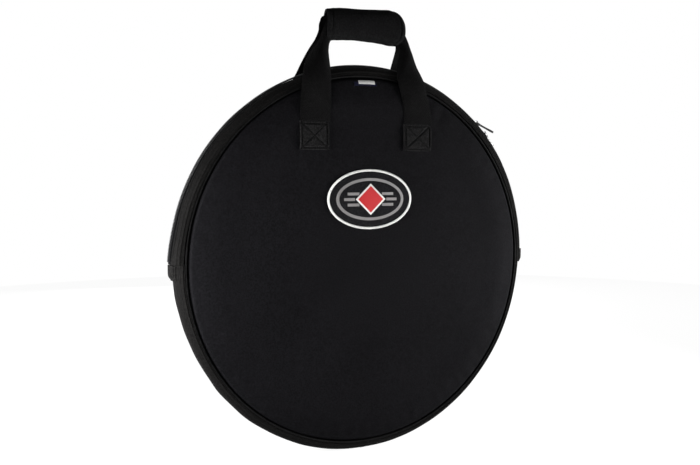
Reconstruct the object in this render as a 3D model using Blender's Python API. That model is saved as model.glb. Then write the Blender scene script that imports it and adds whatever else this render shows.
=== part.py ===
"""A slim round soft case for cymbals, standing on its rim with the front towards -Y.

Two padded round panels are sewn to a rim: one gusset round the lower half, and two bands
with a coil zip between them round the upper half. Undone, the zip lets the upper half of
the front panel fold forward. Two webbing handles meet in a padded wrap above the rim.
Each mesh is drawn about the centre of the disc and placed by its object. Metres, +Z up.
"""
import math

import bmesh
import bpy
from mathutils import Matrix, Vector

# Running and sewing clearance between neighbours
GAP = 0.0003

# Panels: radius at the seam, half distance between the two seams, rounded edge, crown
PANEL_RADIUS = 0.286
SEAM_DEPTH = 0.015
EDGE_ROUND = 0.010
PANEL_CROWN = 0.0035
SHELL = 0.0012
LINING = 0.0008
ALLOWANCE = 0.005

# Rim: how far it stands past the panel, its shoulder, and the padding of the gusset
RIM_BULGE = 0.019
RIM_FRONT = 0.004
RIM_SHOULDER = 0.0145
GUSSET_FOAM = 0.004
FLAT_DEPTH = 0.0022
PIPING_DIAMETER = 0.005
PIPING_PROUD = 0.0005
PIPING_FLANGE = 0.001
BINDING = 0.001
BINDING_LEG = 0.0039

# Zip: lift of the zipped half, band edges, tapes and coils
ZIP_LIFT = 0.002
BAND_EDGE = 0.0075
TAPE = 0.0008
ZIP_PARTING = 0.001
COIL_WIDTH = 0.003
COIL_HEIGHT = 0.003
FOLD_RISE = 0.010
TAB_THICKNESS = 0.0036
TAB_HALF_WIDTH = 0.012
TAB_DROP = 0.013
TAPE_START = math.radians(50)
BAND_LINING_STOP = math.radians(48)

# Sliders: body, post between the coils, bail, and pull
SLIDER_LENGTH = 0.0215
SLIDER_PARTING = 0.0015
SLIDER_PLATE = 0.0016
SLIDER_WALL = 0.0018
SLIDER_TAPER = 0.0008
POST_HALF_WIDTH = 0.0006
POST_SHARES = (0.3, 0.9)
BAIL_INNER = 0.0028
BAIL_THICKNESS = 0.0014
BAIL_HALF_WIDTH = 0.0014
BAIL_LEG = 0.0035
PULL_THICKNESS = 0.0014
PULL_LENGTH = 0.040
PULL_EYE_WALL = 0.0014
PULL_NECK_HALF_WIDTH = 0.0015
PULL_TAIL_HALF_WIDTH = 0.0024
PULL_PLAY = 0.0005
PULL_SKEW = math.radians(18)
SLIDERS_AT = math.radians(44.1)
PULL_LEFT_TILT = math.radians(14.5)
PULL_RIGHT_TILT = math.radians(8)

# Handles: webbing, sewn ends, the bend at each end of the grip
WEBBING = 0.0016
WEBBING_WIDTH = 0.050
HANDLE_SPREAD = 0.0905
ANCHOR_TOP = 0.2195
ANCHOR_HEIGHT = 0.043
GRIP_CLEARANCE = 0.0375
GRIP_HALF_HEIGHT = 0.0255
GRIP_HALF_DEPTH = 0.0115
GRIP_LENGTH = 0.130
GRIP_TRIM_LENGTH = 0.0215
GRIP_TRIM_HEIGHT = 0.0215
GRIP_COVER = 0.001
GRIP_PAD = 0.0025
LOOP_STRIP = 0.001
LOOP_RISE = 0.012
LOOP_REACH = math.radians(250)
BEND_RADIUS = 0.0265
BEND_X = 0.040
BEND_HALF_WIDTH = 0.0135
GRIP_WEB_HALF_WIDTH = 0.0185
WEB_CURL = 0.0030
WEB_PARTING = 0.0009
LEAN_BELOW_RIM = 0.030
LEAN_ABOVE_RIM = 0.040

# Trim: label on the top edge of the panel, badge on the front
LABEL_WIDTH = 0.034
LABEL_OFFSET = -0.004
LABEL = 0.0006
BADGE_WIDTH = 0.148
BADGE_HEIGHT = 0.094
BADGE_CENTRE = 0.101
BADGE = 0.0012
BADGE_BORDER = 0.004
BADGE_RELIEF = 0.0006
LOZENGE_SHARES = (0.36, 0.56)
BAR_SHARES = (0.16, 0.08)

# How finely round shapes are divided
SEGMENTS = 40
SHOULDER_STEPS = 4
EDGE_STEPS = 3
CROWN_RING_SHARES = (0.0, 0.6, 1.0)
COIL_SIDES = 6
OVAL_SIDES = 28
BAIL_STEPS = 8
SLIDER_STEPS = 4
PATCH_STEPS = 3
PIPING_STEPS = 4
GRIP_ARC_STEPS = 4
LEG_STATIONS = 7
BEND_STATIONS = 5
WEB_ACROSS = 4
SHARP_ANGLE = math.radians(40)
CUTTER_OVERRUN = 0.002

# Sizes that follow from the ones above
RIM_RADIUS = PANEL_RADIUS + RIM_BULGE
RIM_HALF_DEPTH = SEAM_DEPTH + RIM_FRONT
ZIP_RIM_RADIUS = RIM_RADIUS + ZIP_LIFT
CROWN_RADIUS = PANEL_RADIUS - EDGE_ROUND
PANEL_FACE = SEAM_DEPTH + EDGE_ROUND + PANEL_CROWN
BAND_START = PANEL_RADIUS + PIPING_DIAMETER + 2 * GAP
ALLOWANCE_END = SEAM_DEPTH - ALLOWANCE
SHOULDER_WIDTH = RIM_HALF_DEPTH - RIM_SHOULDER
DISC_CENTRE = Vector((0, 0, RIM_RADIUS - FLAT_DEPTH))
TAPE_DEPTH = SHELL + GAP
TAPE_FACE = ZIP_RIM_RADIUS - TAPE_DEPTH
COIL_TOP = TAPE_FACE + GAP + COIL_HEIGHT
SLIDER_PLATE_TOP = COIL_TOP + GAP + SLIDER_PLATE
PULL_AXIS = SLIDER_PLATE_TOP + BAIL_LEG
STEP = 2 * math.pi / SEGMENTS
FACET_DROP = ZIP_RIM_RADIUS * (1 - math.cos(STEP / 2))
GRIP_Z = RIM_RADIUS + GRIP_CLEARANCE + GRIP_HALF_HEIGHT
BEND_Z = GRIP_Z - BEND_RADIUS
PAD_DEPTH = GRIP_COVER + GAP
PAD_END_DEPTH = PAD_DEPTH + GRIP_PAD
LOOP_DEPTH = PAD_END_DEPTH + GAP
ANCHOR_THICKNESS = 2 * WEBBING

# Colour, roughness and metallic value of each finish
SHELL_LOOK = ((0.020, 0.020, 0.022), 0.85, 0.0)
BAND_LOOK = ((0.024, 0.024, 0.026), 0.80, 0.0)
LINING_LOOK = ((0.055, 0.055, 0.060), 0.95, 0.0)
FOAM_LOOK = ((0.16, 0.16, 0.17), 1.0, 0.0)
PIPING_LOOK = ((0.030, 0.030, 0.032), 0.55, 0.0)
TAPE_LOOK = ((0.016, 0.016, 0.017), 0.90, 0.0)
COIL_LOOK = ((0.030, 0.030, 0.033), 0.40, 0.0)
WEBBING_LOOK = ((0.028, 0.028, 0.030), 0.70, 0.0)
GRIP_LOOK = ((0.018, 0.018, 0.020), 0.80, 0.0)
CHROME_LOOK = ((0.78, 0.78, 0.80), 0.18, 1.0)
PULL_LOOK = ((0.030, 0.030, 0.032), 0.45, 0.0)
BADGE_LOOK = ((0.012, 0.012, 0.014), 0.55, 0.0)
WHITE_LOOK = ((0.80, 0.80, 0.78), 0.60, 0.0)
RED_LOOK = ((0.62, 0.03, 0.03), 0.55, 0.0)
GREY_LOOK = ((0.34, 0.35, 0.36), 0.60, 0.0)
LABEL_LOOK = ((0.035, 0.036, 0.040), 0.60, 0.0)


def clear_scene():
    for obj in list(bpy.data.objects):
        bpy.data.objects.remove(obj, do_unlink=True)


def pivot(name, world, parent=None):
    """An empty on a joint's axis. `world` is its place when nothing has turned."""
    empty = bpy.data.objects.new(name, None)
    bpy.context.scene.collection.objects.link(empty)
    empty["world"] = world
    empty.parent = parent
    empty.location = world - Vector(parent["world"]) if parent else world
    return empty


def material(name, look):
    colour, roughness, metallic = look
    made = bpy.data.materials.new(name)
    made.use_nodes = True
    shader = made.node_tree.nodes["Principled BSDF"]
    shader.inputs["Base Color"].default_value = (*colour, 1)
    shader.inputs["Roughness"].default_value = roughness
    shader.inputs["Metallic"].default_value = metallic
    return made


def finish(name, bm, look, parent=None, local=None):
    """Makes the object. Its mesh is drawn about the disc's centre unless `local` says where."""
    bmesh.ops.recalc_face_normals(bm, faces=bm.faces)
    mesh = bpy.data.meshes.new(name)
    bm.to_mesh(mesh)
    bm.free()
    mesh.shade_smooth()
    mesh.set_sharp_from_angle(angle=SHARP_ANGLE)
    mesh.materials.append(material(name, look))
    obj = bpy.data.objects.new(name, mesh)
    bpy.context.scene.collection.objects.link(obj)
    obj.parent = parent
    if local is not None:
        obj.location = local
    elif parent:
        obj.location = DISC_CENTRE - Vector(parent["world"])
    else:
        obj.location = DISC_CENTRE
    return obj


def combine(obj, other, operation):
    """Adds `other` to `obj`, or cuts it away, and hides it."""
    modifier = obj.modifiers.new(operation.title(), "BOOLEAN")
    modifier.operation = operation
    modifier.solver = "EXACT"
    modifier.object = other
    other.hide_render = True
    other.display_type = "WIRE"


# Rings turned about the disc's axis, which is the Y axis


def spin_section(section, start=-math.pi / 2 - STEP / 2, sweep=2 * math.pi, steps=SEGMENTS):
    """Turns a closed section of (radius, y) points about the Y axis, from angle `start`."""
    bm = bmesh.new()
    verts = [bm.verts.new((r * math.cos(start), y, r * math.sin(start))) for r, y in section]
    edges = [bm.edges.new((verts[i - 1], verts[i])) for i in range(len(verts))]
    whole = sweep > 2 * math.pi - STEP / 2
    turned = bmesh.ops.spin(bm, geom=verts + edges, cent=(0, 0, 0), axis=(0, -1, 0), dvec=(0, 0, 0),
                            angle=sweep, steps=steps, use_merge=whole, use_normal_flip=False)
    if not whole:
        bmesh.ops.edgeloop_fill(bm, edges=edges)
        last = [edge for edge in turned["geom_last"] if isinstance(edge, bmesh.types.BMEdge)]
        bmesh.ops.edgeloop_fill(bm, edges=last)
    bmesh.ops.remove_doubles(bm, verts=bm.verts, dist=GAP / 100)
    bmesh.ops.dissolve_degenerate(bm, edges=bm.edges, dist=GAP / 100)
    return bm


def cut_level(bm, level, keep_above):
    """Cuts a body at a height above the disc's centre and closes the cut."""
    cut = bmesh.ops.bisect_plane(bm, geom=bm.verts[:] + bm.edges[:] + bm.faces[:], dist=GAP / 1000,
                                 plane_co=(0, 0, level), plane_no=(0, 0, 1),
                                 clear_inner=keep_above, clear_outer=not keep_above)
    edges = [edge for edge in cut["geom_cut"] if isinstance(edge, bmesh.types.BMEdge)]
    bmesh.ops.edgeloop_fill(bm, edges=edges)
    return bm


def above_fold(bm):
    return cut_level(bm, FOLD_RISE + GAP / 2, True)


def below_fold(bm):
    return cut_level(bm, FOLD_RISE - GAP / 2, False)


def panel_profile(depth):
    """The panel's face from the axis to the seam, `depth` below its surface."""
    points = []
    for share in CROWN_RING_SHARES:
        crown = PANEL_CROWN * (1 - share * share)
        points.append((CROWN_RADIUS * share, SEAM_DEPTH + EDGE_ROUND + crown - depth))
    for i in range(1, EDGE_STEPS + 1):
        angle = math.pi / 2 * i / EDGE_STEPS
        points.append((CROWN_RADIUS + (EDGE_ROUND - depth) * math.sin(angle),
                       SEAM_DEPTH + (EDGE_ROUND - depth) * math.cos(angle)))
    return points


def panel_shell(side):
    """Outer cloth with its seam allowance turned inwards."""
    allowance = [(PANEL_RADIUS, ALLOWANCE_END), (PANEL_RADIUS - SHELL, ALLOWANCE_END)]
    section = panel_profile(0) + allowance + panel_profile(SHELL)[::-1]
    return spin_section([(r, side * y) for r, y in section])


def panel_foam(side):
    section = panel_profile(SHELL + GAP) + [(0, SEAM_DEPTH)]
    return spin_section([(r, side * y) for r, y in section])


def panel_lining(side):
    radius = PANEL_RADIUS - SHELL - GAP
    outer = SEAM_DEPTH - GAP
    inner = outer - LINING
    section = [(0, outer), (radius, outer), (radius, inner), (0, inner)]
    return spin_section([(r, side * y) for r, y in section])


def rim_arc(crown, depth, start, stop):
    """The rim's shoulder `depth` below its surface. Angle 0 faces forward, 90 degrees outward."""
    radius = RIM_SHOULDER - depth
    points = []
    for i in range(SHOULDER_STEPS + 1):
        angle = start + (stop - start) * i / SHOULDER_STEPS
        points.append((crown - RIM_SHOULDER + radius * math.sin(angle),
                       SHOULDER_WIDTH + radius * math.cos(angle)))
    return points


def angle_at_radius(crown, depth, radius):
    return math.asin((radius - crown + RIM_SHOULDER) / (RIM_SHOULDER - depth))


def angle_at_width(depth, width):
    return math.acos((width - SHOULDER_WIDTH) / (RIM_SHOULDER - depth))


def gusset_section(outer, inner, start_radius, allowance=0):
    """Front seam to back seam, between two depths, with a turned edge of `allowance` width."""
    start_out = angle_at_radius(RIM_RADIUS, outer, start_radius)
    start_in = angle_at_radius(RIM_RADIUS, inner, start_radius + allowance)
    outside = rim_arc(RIM_RADIUS, outer, start_out, math.pi / 2)
    inside = rim_arc(RIM_RADIUS, inner, start_in, math.pi / 2)
    front = []
    back = []
    if allowance:
        front = [(start_radius, ALLOWANCE_END)]
        back = [(start_radius + allowance, ALLOWANCE_END)]
    half_out = front + outside
    half_in = inside[::-1] + back
    mirrored_out = [(r, -y) for r, y in half_out[::-1]]
    mirrored_in = [(r, -y) for r, y in half_in[::-1]]
    return half_out + mirrored_out + mirrored_in + half_in


def settle(bm):
    """Presses the foot of the gusset flat, each layer by the same amount."""
    pressed = set()
    for vert in bm.verts:
        radius = math.hypot(vert.co.x, vert.co.z)
        along = max(abs(vert.co.y) - SHOULDER_WIDTH, 0)
        outward = radius - RIM_RADIUS + RIM_SHOULDER
        depth = RIM_SHOULDER - math.hypot(outward, along)
        floor = FLAT_DEPTH + depth - RIM_RADIUS
        if outward > 0 and vert.co.z < floor:
            vert.co.z = floor
            pressed.update(vert.link_faces)
    bmesh.ops.triangulate(bm, faces=list(pressed), quad_method="SHORT_EDGE")
    return bm


def lower_gusset(outer, inner, start_radius, allowance=0):
    return below_fold(settle(spin_section(gusset_section(outer, inner, start_radius, allowance))))


def band_shell(side):
    """Outer cloth between the piping and the zip, in the zipped half."""
    start_out = angle_at_radius(ZIP_RIM_RADIUS, 0, BAND_START)
    start_in = angle_at_radius(ZIP_RIM_RADIUS, SHELL, BAND_START + SHELL)
    outside = rim_arc(ZIP_RIM_RADIUS, 0, start_out, angle_at_width(0, BAND_EDGE))
    inside = rim_arc(ZIP_RIM_RADIUS, SHELL, start_in, angle_at_width(SHELL, BAND_EDGE))
    section = [(BAND_START, ALLOWANCE_END)] + outside + inside[::-1]
    section += [(BAND_START + SHELL, ALLOWANCE_END)]
    return above_fold(spin_section([(r, side * y) for r, y in section]))


def band_lining(side):
    start = BAND_START + SHELL + BINDING + 2 * GAP
    depths = (TAPE_DEPTH, TAPE_DEPTH + LINING)
    first, second = [rim_arc(ZIP_RIM_RADIUS, depth, angle_at_radius(ZIP_RIM_RADIUS, depth, start),
                             BAND_LINING_STOP) for depth in depths]
    return above_fold(spin_section([(r, side * y) for r, y in first + second[::-1]]))


def zip_tape(side):
    """Tape from under the band's edge to the zip's parting."""
    section = []
    for depth in (TAPE_DEPTH, TAPE_DEPTH + TAPE):
        line = rim_arc(ZIP_RIM_RADIUS, depth, TAPE_START, math.pi / 2)
        line.append((ZIP_RIM_RADIUS - depth, ZIP_PARTING))
        section += line if depth == TAPE_DEPTH else line[::-1]
    return above_fold(spin_section([(r, side * y) for r, y in section]))


def zip_coil(side):
    """The row of coil teeth, as the rounded ridge that it makes on its tape."""
    section = []
    for i in range(COIL_SIDES):
        angle = 2 * math.pi * (i + 0.5) / COIL_SIDES
        stretch = 1 / math.cos(math.pi / COIL_SIDES)
        section.append((COIL_TOP - COIL_HEIGHT / 2 + COIL_HEIGHT / 2 * math.sin(angle),
                        ZIP_PARTING + COIL_WIDTH / 2 + COIL_WIDTH / 2 * stretch * math.cos(angle)))
    low = min(y for r, y in section)
    section = [(r, y - low + ZIP_PARTING) for r, y in section]
    return above_fold(spin_section([(r, side * y) for r, y in section]))


def piping(side):
    """Cord in the seam between panel and rim, with the flange that is sewn in."""
    centre = PANEL_RADIUS + GAP + PIPING_DIAMETER / 2
    half = PIPING_DIAMETER / 2
    middle = RIM_HALF_DEPTH + PIPING_PROUD - half
    open_angle = math.asin(PIPING_FLANGE / PIPING_DIAMETER)
    section = [(centre + PIPING_FLANGE / 2, ALLOWANCE_END), (centre - PIPING_FLANGE / 2, ALLOWANCE_END)]
    for i in range(PIPING_STEPS + 1):
        angle = math.pi + open_angle + (2 * math.pi - 2 * open_angle) * i / PIPING_STEPS
        section.append((centre + half * math.sin(angle), middle + half * math.cos(angle)))
    return spin_section([(r, side * y) for r, y in section])


def binding(side):
    """Tape folded over the raw edges of the seam, inside the case."""
    inner = PANEL_RADIUS - SHELL - GAP
    outer = BAND_START + SHELL + GAP
    top = ALLOWANCE_END - GAP
    legs = top + BINDING_LEG
    base = top - BINDING
    section = [(inner - BINDING, legs), (inner, legs), (inner, top), (outer, top),
               (outer, legs), (outer + BINDING, legs), (outer + BINDING, base), (inner - BINDING, base)]
    return spin_section([(r, side * y) for r, y in section])


def zip_end_tab(side):
    """Folded tab sewn over the end of the zip, on the gusset."""
    section = []
    for depth in (-GAP, -GAP - TAB_THICKNESS):
        line = rim_arc(RIM_RADIUS, depth, angle_at_width(depth, TAB_HALF_WIDTH), math.pi / 2)
        line += [(r, -y) for r, y in line[::-1]]
        section += line if depth == -GAP else line[::-1]
    reach = TAB_DROP / RIM_RADIUS
    middle = math.pi if side < 0 else 0
    bm = spin_section(section, start=middle - 2 * reach, sweep=4 * reach, steps=SHOULDER_STEPS)
    bm = below_fold(bm)
    return cut_level(bm, -TAB_DROP, True)


def make_shell():
    """Everything that belongs to the case when the zip is open, and the lid that folds from it."""
    lid = pivot("lid_fold", DISC_CENTRE + Vector((0, -PANEL_FACE, FOLD_RISE)))
    gusset_start = BAND_START + SHELL + BINDING + 2 * GAP
    foam_depth = SHELL + GAP
    lining_depth = foam_depth + GUSSET_FOAM + GAP
    finish("back_panel_shell", panel_shell(1), SHELL_LOOK)
    finish("back_panel_foam", panel_foam(1), FOAM_LOOK)
    finish("back_panel_lining", panel_lining(1), LINING_LOOK)
    finish("front_lower_shell", below_fold(panel_shell(-1)), SHELL_LOOK)
    finish("front_lower_foam", below_fold(panel_foam(-1)), FOAM_LOOK)
    finish("front_lower_lining", below_fold(panel_lining(-1)), LINING_LOOK)
    finish("front_upper_shell", above_fold(panel_shell(-1)), SHELL_LOOK, lid)
    finish("front_upper_foam", above_fold(panel_foam(-1)), FOAM_LOOK, lid)
    finish("front_upper_lining", above_fold(panel_lining(-1)), LINING_LOOK, lid)
    finish("lower_gusset_shell", lower_gusset(0, SHELL, BAND_START, SHELL), BAND_LOOK)
    finish("lower_gusset_foam", lower_gusset(foam_depth, foam_depth + GUSSET_FOAM, gusset_start), FOAM_LOOK)
    finish("lower_gusset_lining", lower_gusset(lining_depth, lining_depth + LINING, gusset_start),
           LINING_LOOK)
    for name, side, parent in (("rear", 1, None), ("front", -1, lid)):
        finish(f"{name}_band_shell", band_shell(side), BAND_LOOK, parent)
        finish(f"{name}_band_lining", band_lining(side), LINING_LOOK, parent)
        finish(f"{name}_zip_tape", zip_tape(side), TAPE_LOOK, parent)
        finish(f"{name}_zip_coil", zip_coil(side), COIL_LOOK, parent)
    finish("back_piping", piping(1), PIPING_LOOK)
    finish("front_piping_lower", below_fold(piping(-1)), PIPING_LOOK)
    finish("front_piping_upper", above_fold(piping(-1)), PIPING_LOOK, lid)
    finish("back_binding", binding(1), TAPE_LOOK)
    finish("front_binding_lower", below_fold(binding(-1)), TAPE_LOOK)
    finish("front_binding_upper", above_fold(binding(-1)), TAPE_LOOK, lid)
    finish("zip_end_tab_left", zip_end_tab(-1), WEBBING_LOOK)
    finish("zip_end_tab_right", zip_end_tab(1), WEBBING_LOOK)
    return lid


# Flat pieces that lie on the front or back panel


def face_depth(x, z):
    """How far the panel's face stands from the middle of the case."""
    share = math.hypot(x, z) / CROWN_RADIUS
    return SEAM_DEPTH + EDGE_ROUND + PANEL_CROWN * (1 - share * share)


def lay_on_panel(bm, side, lift, thickness):
    """Thickens a flat piece drawn in X and Z, and lays it on a panel `lift` above the cloth."""
    for vert in bm.verts:
        vert.co.y = side * (face_depth(vert.co.x, vert.co.z) + lift)
    raised = bmesh.ops.extrude_face_region(bm, geom=bm.faces[:], use_keep_orig=True)
    for vert in raised["geom"]:
        if isinstance(vert, bmesh.types.BMVert):
            vert.co.y += side * thickness
    return bm


def flat_grid(width, height, across, up, centre_x, centre_z):
    bm = bmesh.new()
    bmesh.ops.create_grid(bm, x_segments=across, y_segments=up, size=0.5)
    for vert in bm.verts:
        vert.co = Vector((centre_x + width * vert.co.x, 0, centre_z + height * vert.co.y))
    return bm


def flat_outline(points):
    bm = bmesh.new()
    bm.faces.new([bm.verts.new((x, 0, z)) for x, z in points])
    return bm


def oval(inset):
    """The badge's outline, drawn in by `inset` all round."""
    half_width = BADGE_WIDTH / 2 - inset
    half_height = BADGE_HEIGHT / 2 - inset
    turns = [2 * math.pi * i / OVAL_SIDES for i in range(OVAL_SIDES)]
    return [(half_width * math.cos(turn), BADGE_CENTRE + half_height * math.sin(turn)) for turn in turns]


def flat_ring(outer, inner):
    """The strip between two outlines that have as many points."""
    bm = bmesh.new()
    rings = [[bm.verts.new((x, 0, z)) for x, z in points] for points in (outer, inner)]
    loops = [bm.edges.new((ring[i - 1], ring[i])) for ring in rings for i in range(len(ring))]
    bmesh.ops.bridge_loops(bm, edges=loops)
    return bm


def make_trim(lid):
    base = flat_outline(oval(0))
    bmesh.ops.poke(base, faces=base.faces)
    finish("badge_base", lay_on_panel(base, -1, GAP, BADGE), BADGE_LOOK, lid)
    lift = BADGE + 2 * GAP
    border = flat_ring(oval(0), oval(BADGE_BORDER))
    finish("badge_border", lay_on_panel(border, -1, lift, BADGE_RELIEF), WHITE_LOOK, lid)
    half_width = BADGE_WIDTH * LOZENGE_SHARES[0] / 2
    half_height = BADGE_HEIGHT * LOZENGE_SHARES[1] / 2
    bar_length = BADGE_WIDTH * BAR_SHARES[0]
    bar_height = BADGE_HEIGHT * BAR_SHARES[1]
    lozenge = flat_outline([(half_width, BADGE_CENTRE), (0, BADGE_CENTRE + half_height),
                            (-half_width, BADGE_CENTRE), (0, BADGE_CENTRE - half_height)])
    bmesh.ops.poke(lozenge, faces=lozenge.faces)
    finish("badge_lozenge", lay_on_panel(lozenge, -1, lift, BADGE_RELIEF), RED_LOOK, lid)
    bar_x = half_width + GAP + bar_length / 2
    for name, side in (("left", -1), ("right", 1)):
        bars = flat_grid(bar_length, bar_height, PATCH_STEPS, 1, side * bar_x, BADGE_CENTRE)
        finish(f"badge_bar_{name}", lay_on_panel(bars, -1, lift, BADGE_RELIEF), GREY_LOOK, lid)
    half_angle = LABEL_WIDTH / 2 / PANEL_RADIUS
    middle = math.pi / 2 - LABEL_OFFSET / PANEL_RADIUS
    section = [(r, -y) for r, y in panel_profile(-GAP)[len(CROWN_RING_SHARES) - 1:-1]]
    section += [(r, -y) for r, y in panel_profile(-GAP - LABEL)[len(CROWN_RING_SHARES) - 1:-1]][::-1]
    label = spin_section(section, start=middle - half_angle, sweep=2 * half_angle, steps=PATCH_STEPS)
    finish("top_label", label, LABEL_LOOK, lid)


# Handles: webbing sewn to each panel, meeting in a padded wrap


def anchor(side, hand):
    middle = ANCHOR_TOP - ANCHOR_HEIGHT / 2
    patch = flat_grid(WEBBING_WIDTH, ANCHOR_HEIGHT, PATCH_STEPS, PATCH_STEPS, hand * HANDLE_SPREAD, middle)
    return lay_on_panel(patch, side, GAP, ANCHOR_THICKNESS)


def smooth(share):
    share = min(max(share, 0), 1)
    return share * share * (3 - 2 * share)


def web_stations():
    """(x, z, direction, half width, curl) from the right anchor up to the middle of the grip."""
    foot = Vector((HANDLE_SPREAD, ANCHOR_TOP + GAP))
    to_bend = Vector((BEND_X, BEND_Z)) - foot
    heading = math.atan2(to_bend.y, to_bend.x) - math.asin(BEND_RADIUS / to_bend.length)
    leg = math.sqrt(to_bend.length ** 2 - BEND_RADIUS ** 2)
    stations = []
    for i in range(LEG_STATIONS):
        share = i / LEG_STATIONS
        half = WEBBING_WIDTH / 2 + (BEND_HALF_WIDTH - WEBBING_WIDTH / 2) * smooth(share)
        place = foot + leg * share * Vector((math.cos(heading), math.sin(heading)))
        turn = math.pi / 2 + (heading - math.pi / 2) * smooth(2 * share)
        stations.append((place.x, place.y, turn, half, WEB_CURL * smooth(share)))
    for i in range(BEND_STATIONS + 1):
        share = i / BEND_STATIONS
        turn = heading + (math.pi - heading) * share
        half = BEND_HALF_WIDTH + (GRIP_WEB_HALF_WIDTH - BEND_HALF_WIDTH) * smooth(share)
        stations.append((BEND_X + BEND_RADIUS * math.sin(turn), BEND_Z - BEND_RADIUS * math.cos(turn),
                         turn, half, WEB_CURL))
    return stations


def web_depth(z):
    """How far the middle of the webbing stands from the middle of the case at a height."""
    low = RIM_RADIUS - LEAN_BELOW_RIM
    high = RIM_RADIUS + LEAN_ABOVE_RIM
    at_panel = face_depth(HANDLE_SPREAD - WEBBING_WIDTH / 2, ANCHOR_TOP) + GAP + WEBBING / 2
    at_grip = WEB_PARTING + WEBBING / 2
    return at_panel + (at_grip - at_panel) * smooth((z - low) / (high - low))


def webbing(side):
    """One handle's strap, from the top of one sewn end over the grip to the other."""
    right = web_stations()
    left = [(-x, z, math.pi - turn, -half, curl) for x, z, turn, half, curl in right[::-1]]
    bm = bmesh.new()
    rings = []
    for x, z, turn, half, curl in right + left:
        across = Vector((math.sin(turn), 0, -math.cos(turn)))
        if half < 0:
            across = -across
        ring = []
        for face in (1, -1):
            for i in range(WEB_ACROSS + 1):
                share = face * (2 * i / WEB_ACROSS - 1)
                bow = curl * (1 - share * share)
                depth = web_depth(z) + bow + face * WEBBING / 2
                spot = Vector((x, side * depth, z)) + across * abs(half) * share
                ring.append(bm.verts.new(spot))
        rings.append(ring)
    count = len(rings[0])
    for first, second in zip(rings, rings[1:]):
        for i in range(count):
            bm.faces.new((first[i - 1], first[i], second[i], second[i - 1]))
    bm.faces.new(rings[0])
    bm.faces.new(rings[-1][::-1])
    return bm


def grip_line(side, depth, start, stop):
    """Part of the wrap's outline, `depth` inside it: 0 is the top and 180 degrees the bottom."""
    radius = GRIP_HALF_DEPTH - depth
    straight = GRIP_HALF_HEIGHT - GRIP_HALF_DEPTH
    steps = max(1, round((stop - start) / (math.pi / 2) * GRIP_ARC_STEPS))
    points = []
    for i in range(steps + 1):
        angle = start + (stop - start) * i / steps
        points.append((side * radius * math.sin(angle), radius * math.cos(angle)))
    low = [(y, z - straight) for y, z in points]
    high = [(y, z + straight) for y, z in points]
    return high, low


def wrap_layer(side, outer, inner, parts):
    """A layer of the wrap between two depths, over "top", "bottom" or both quarters."""
    section = []
    for depth in (outer, inner):
        seam = math.asin(GAP / 2 / (GRIP_HALF_DEPTH - depth))
        lean = math.asin(GAP / (GRIP_HALF_DEPTH - depth))
        line = []
        if "top" in parts:
            line += grip_line(side, depth, seam, math.pi / 2)[0]
        if "bottom" in parts:
            begin = math.pi / 2 if "top" in parts else math.pi / 2 + lean
            line += grip_line(side, depth, begin, math.pi - seam)[1]
        elif "side" in parts:
            line.append(grip_line(side, depth, math.pi / 2, math.pi)[1][0])
        section += line if depth == outer else line[::-1]
    return section


def loop_section():
    """The loop strip: sewn inside the back of the wrap, and reaching forward round its foot."""
    straight = GRIP_HALF_HEIGHT - GRIP_HALF_DEPTH
    section = []
    for depth in (LOOP_DEPTH, LOOP_DEPTH + LOOP_STRIP):
        line = [(GRIP_HALF_DEPTH - depth, LOOP_RISE - straight)]
        line += grip_line(1, depth, math.pi / 2, LOOP_REACH)[1]
        section += line if depth == LOOP_DEPTH else line[::-1]
    return section


def extrude_grip(section):
    """Draws a wrap section out along X, and trims its lower corners where the webbing turns."""
    half = GRIP_LENGTH / 2
    bm = bmesh.new()
    face = bm.faces.new([bm.verts.new((-half, y, GRIP_Z + z)) for y, z in section])
    drawn = bmesh.ops.extrude_face_region(bm, geom=[face], use_keep_orig=True)
    for vert in drawn["geom"]:
        if isinstance(vert, bmesh.types.BMVert):
            vert.co.x = half
    for hand in (-1, 1):
        corner = Vector((hand * (half - GRIP_TRIM_LENGTH), 0, GRIP_Z - GRIP_HALF_HEIGHT))
        slope = Vector((hand * GRIP_TRIM_HEIGHT, 0, -GRIP_TRIM_LENGTH))
        cut = bmesh.ops.bisect_plane(bm, geom=bm.verts[:] + bm.edges[:] + bm.faces[:], dist=GAP / 1000,
                                     plane_co=corner, plane_no=slope, clear_outer=True)
        edges = [edge for edge in cut["geom_cut"] if isinstance(edge, bmesh.types.BMEdge)]
        bmesh.ops.edgeloop_fill(bm, edges=edges)
    return bm


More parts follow.
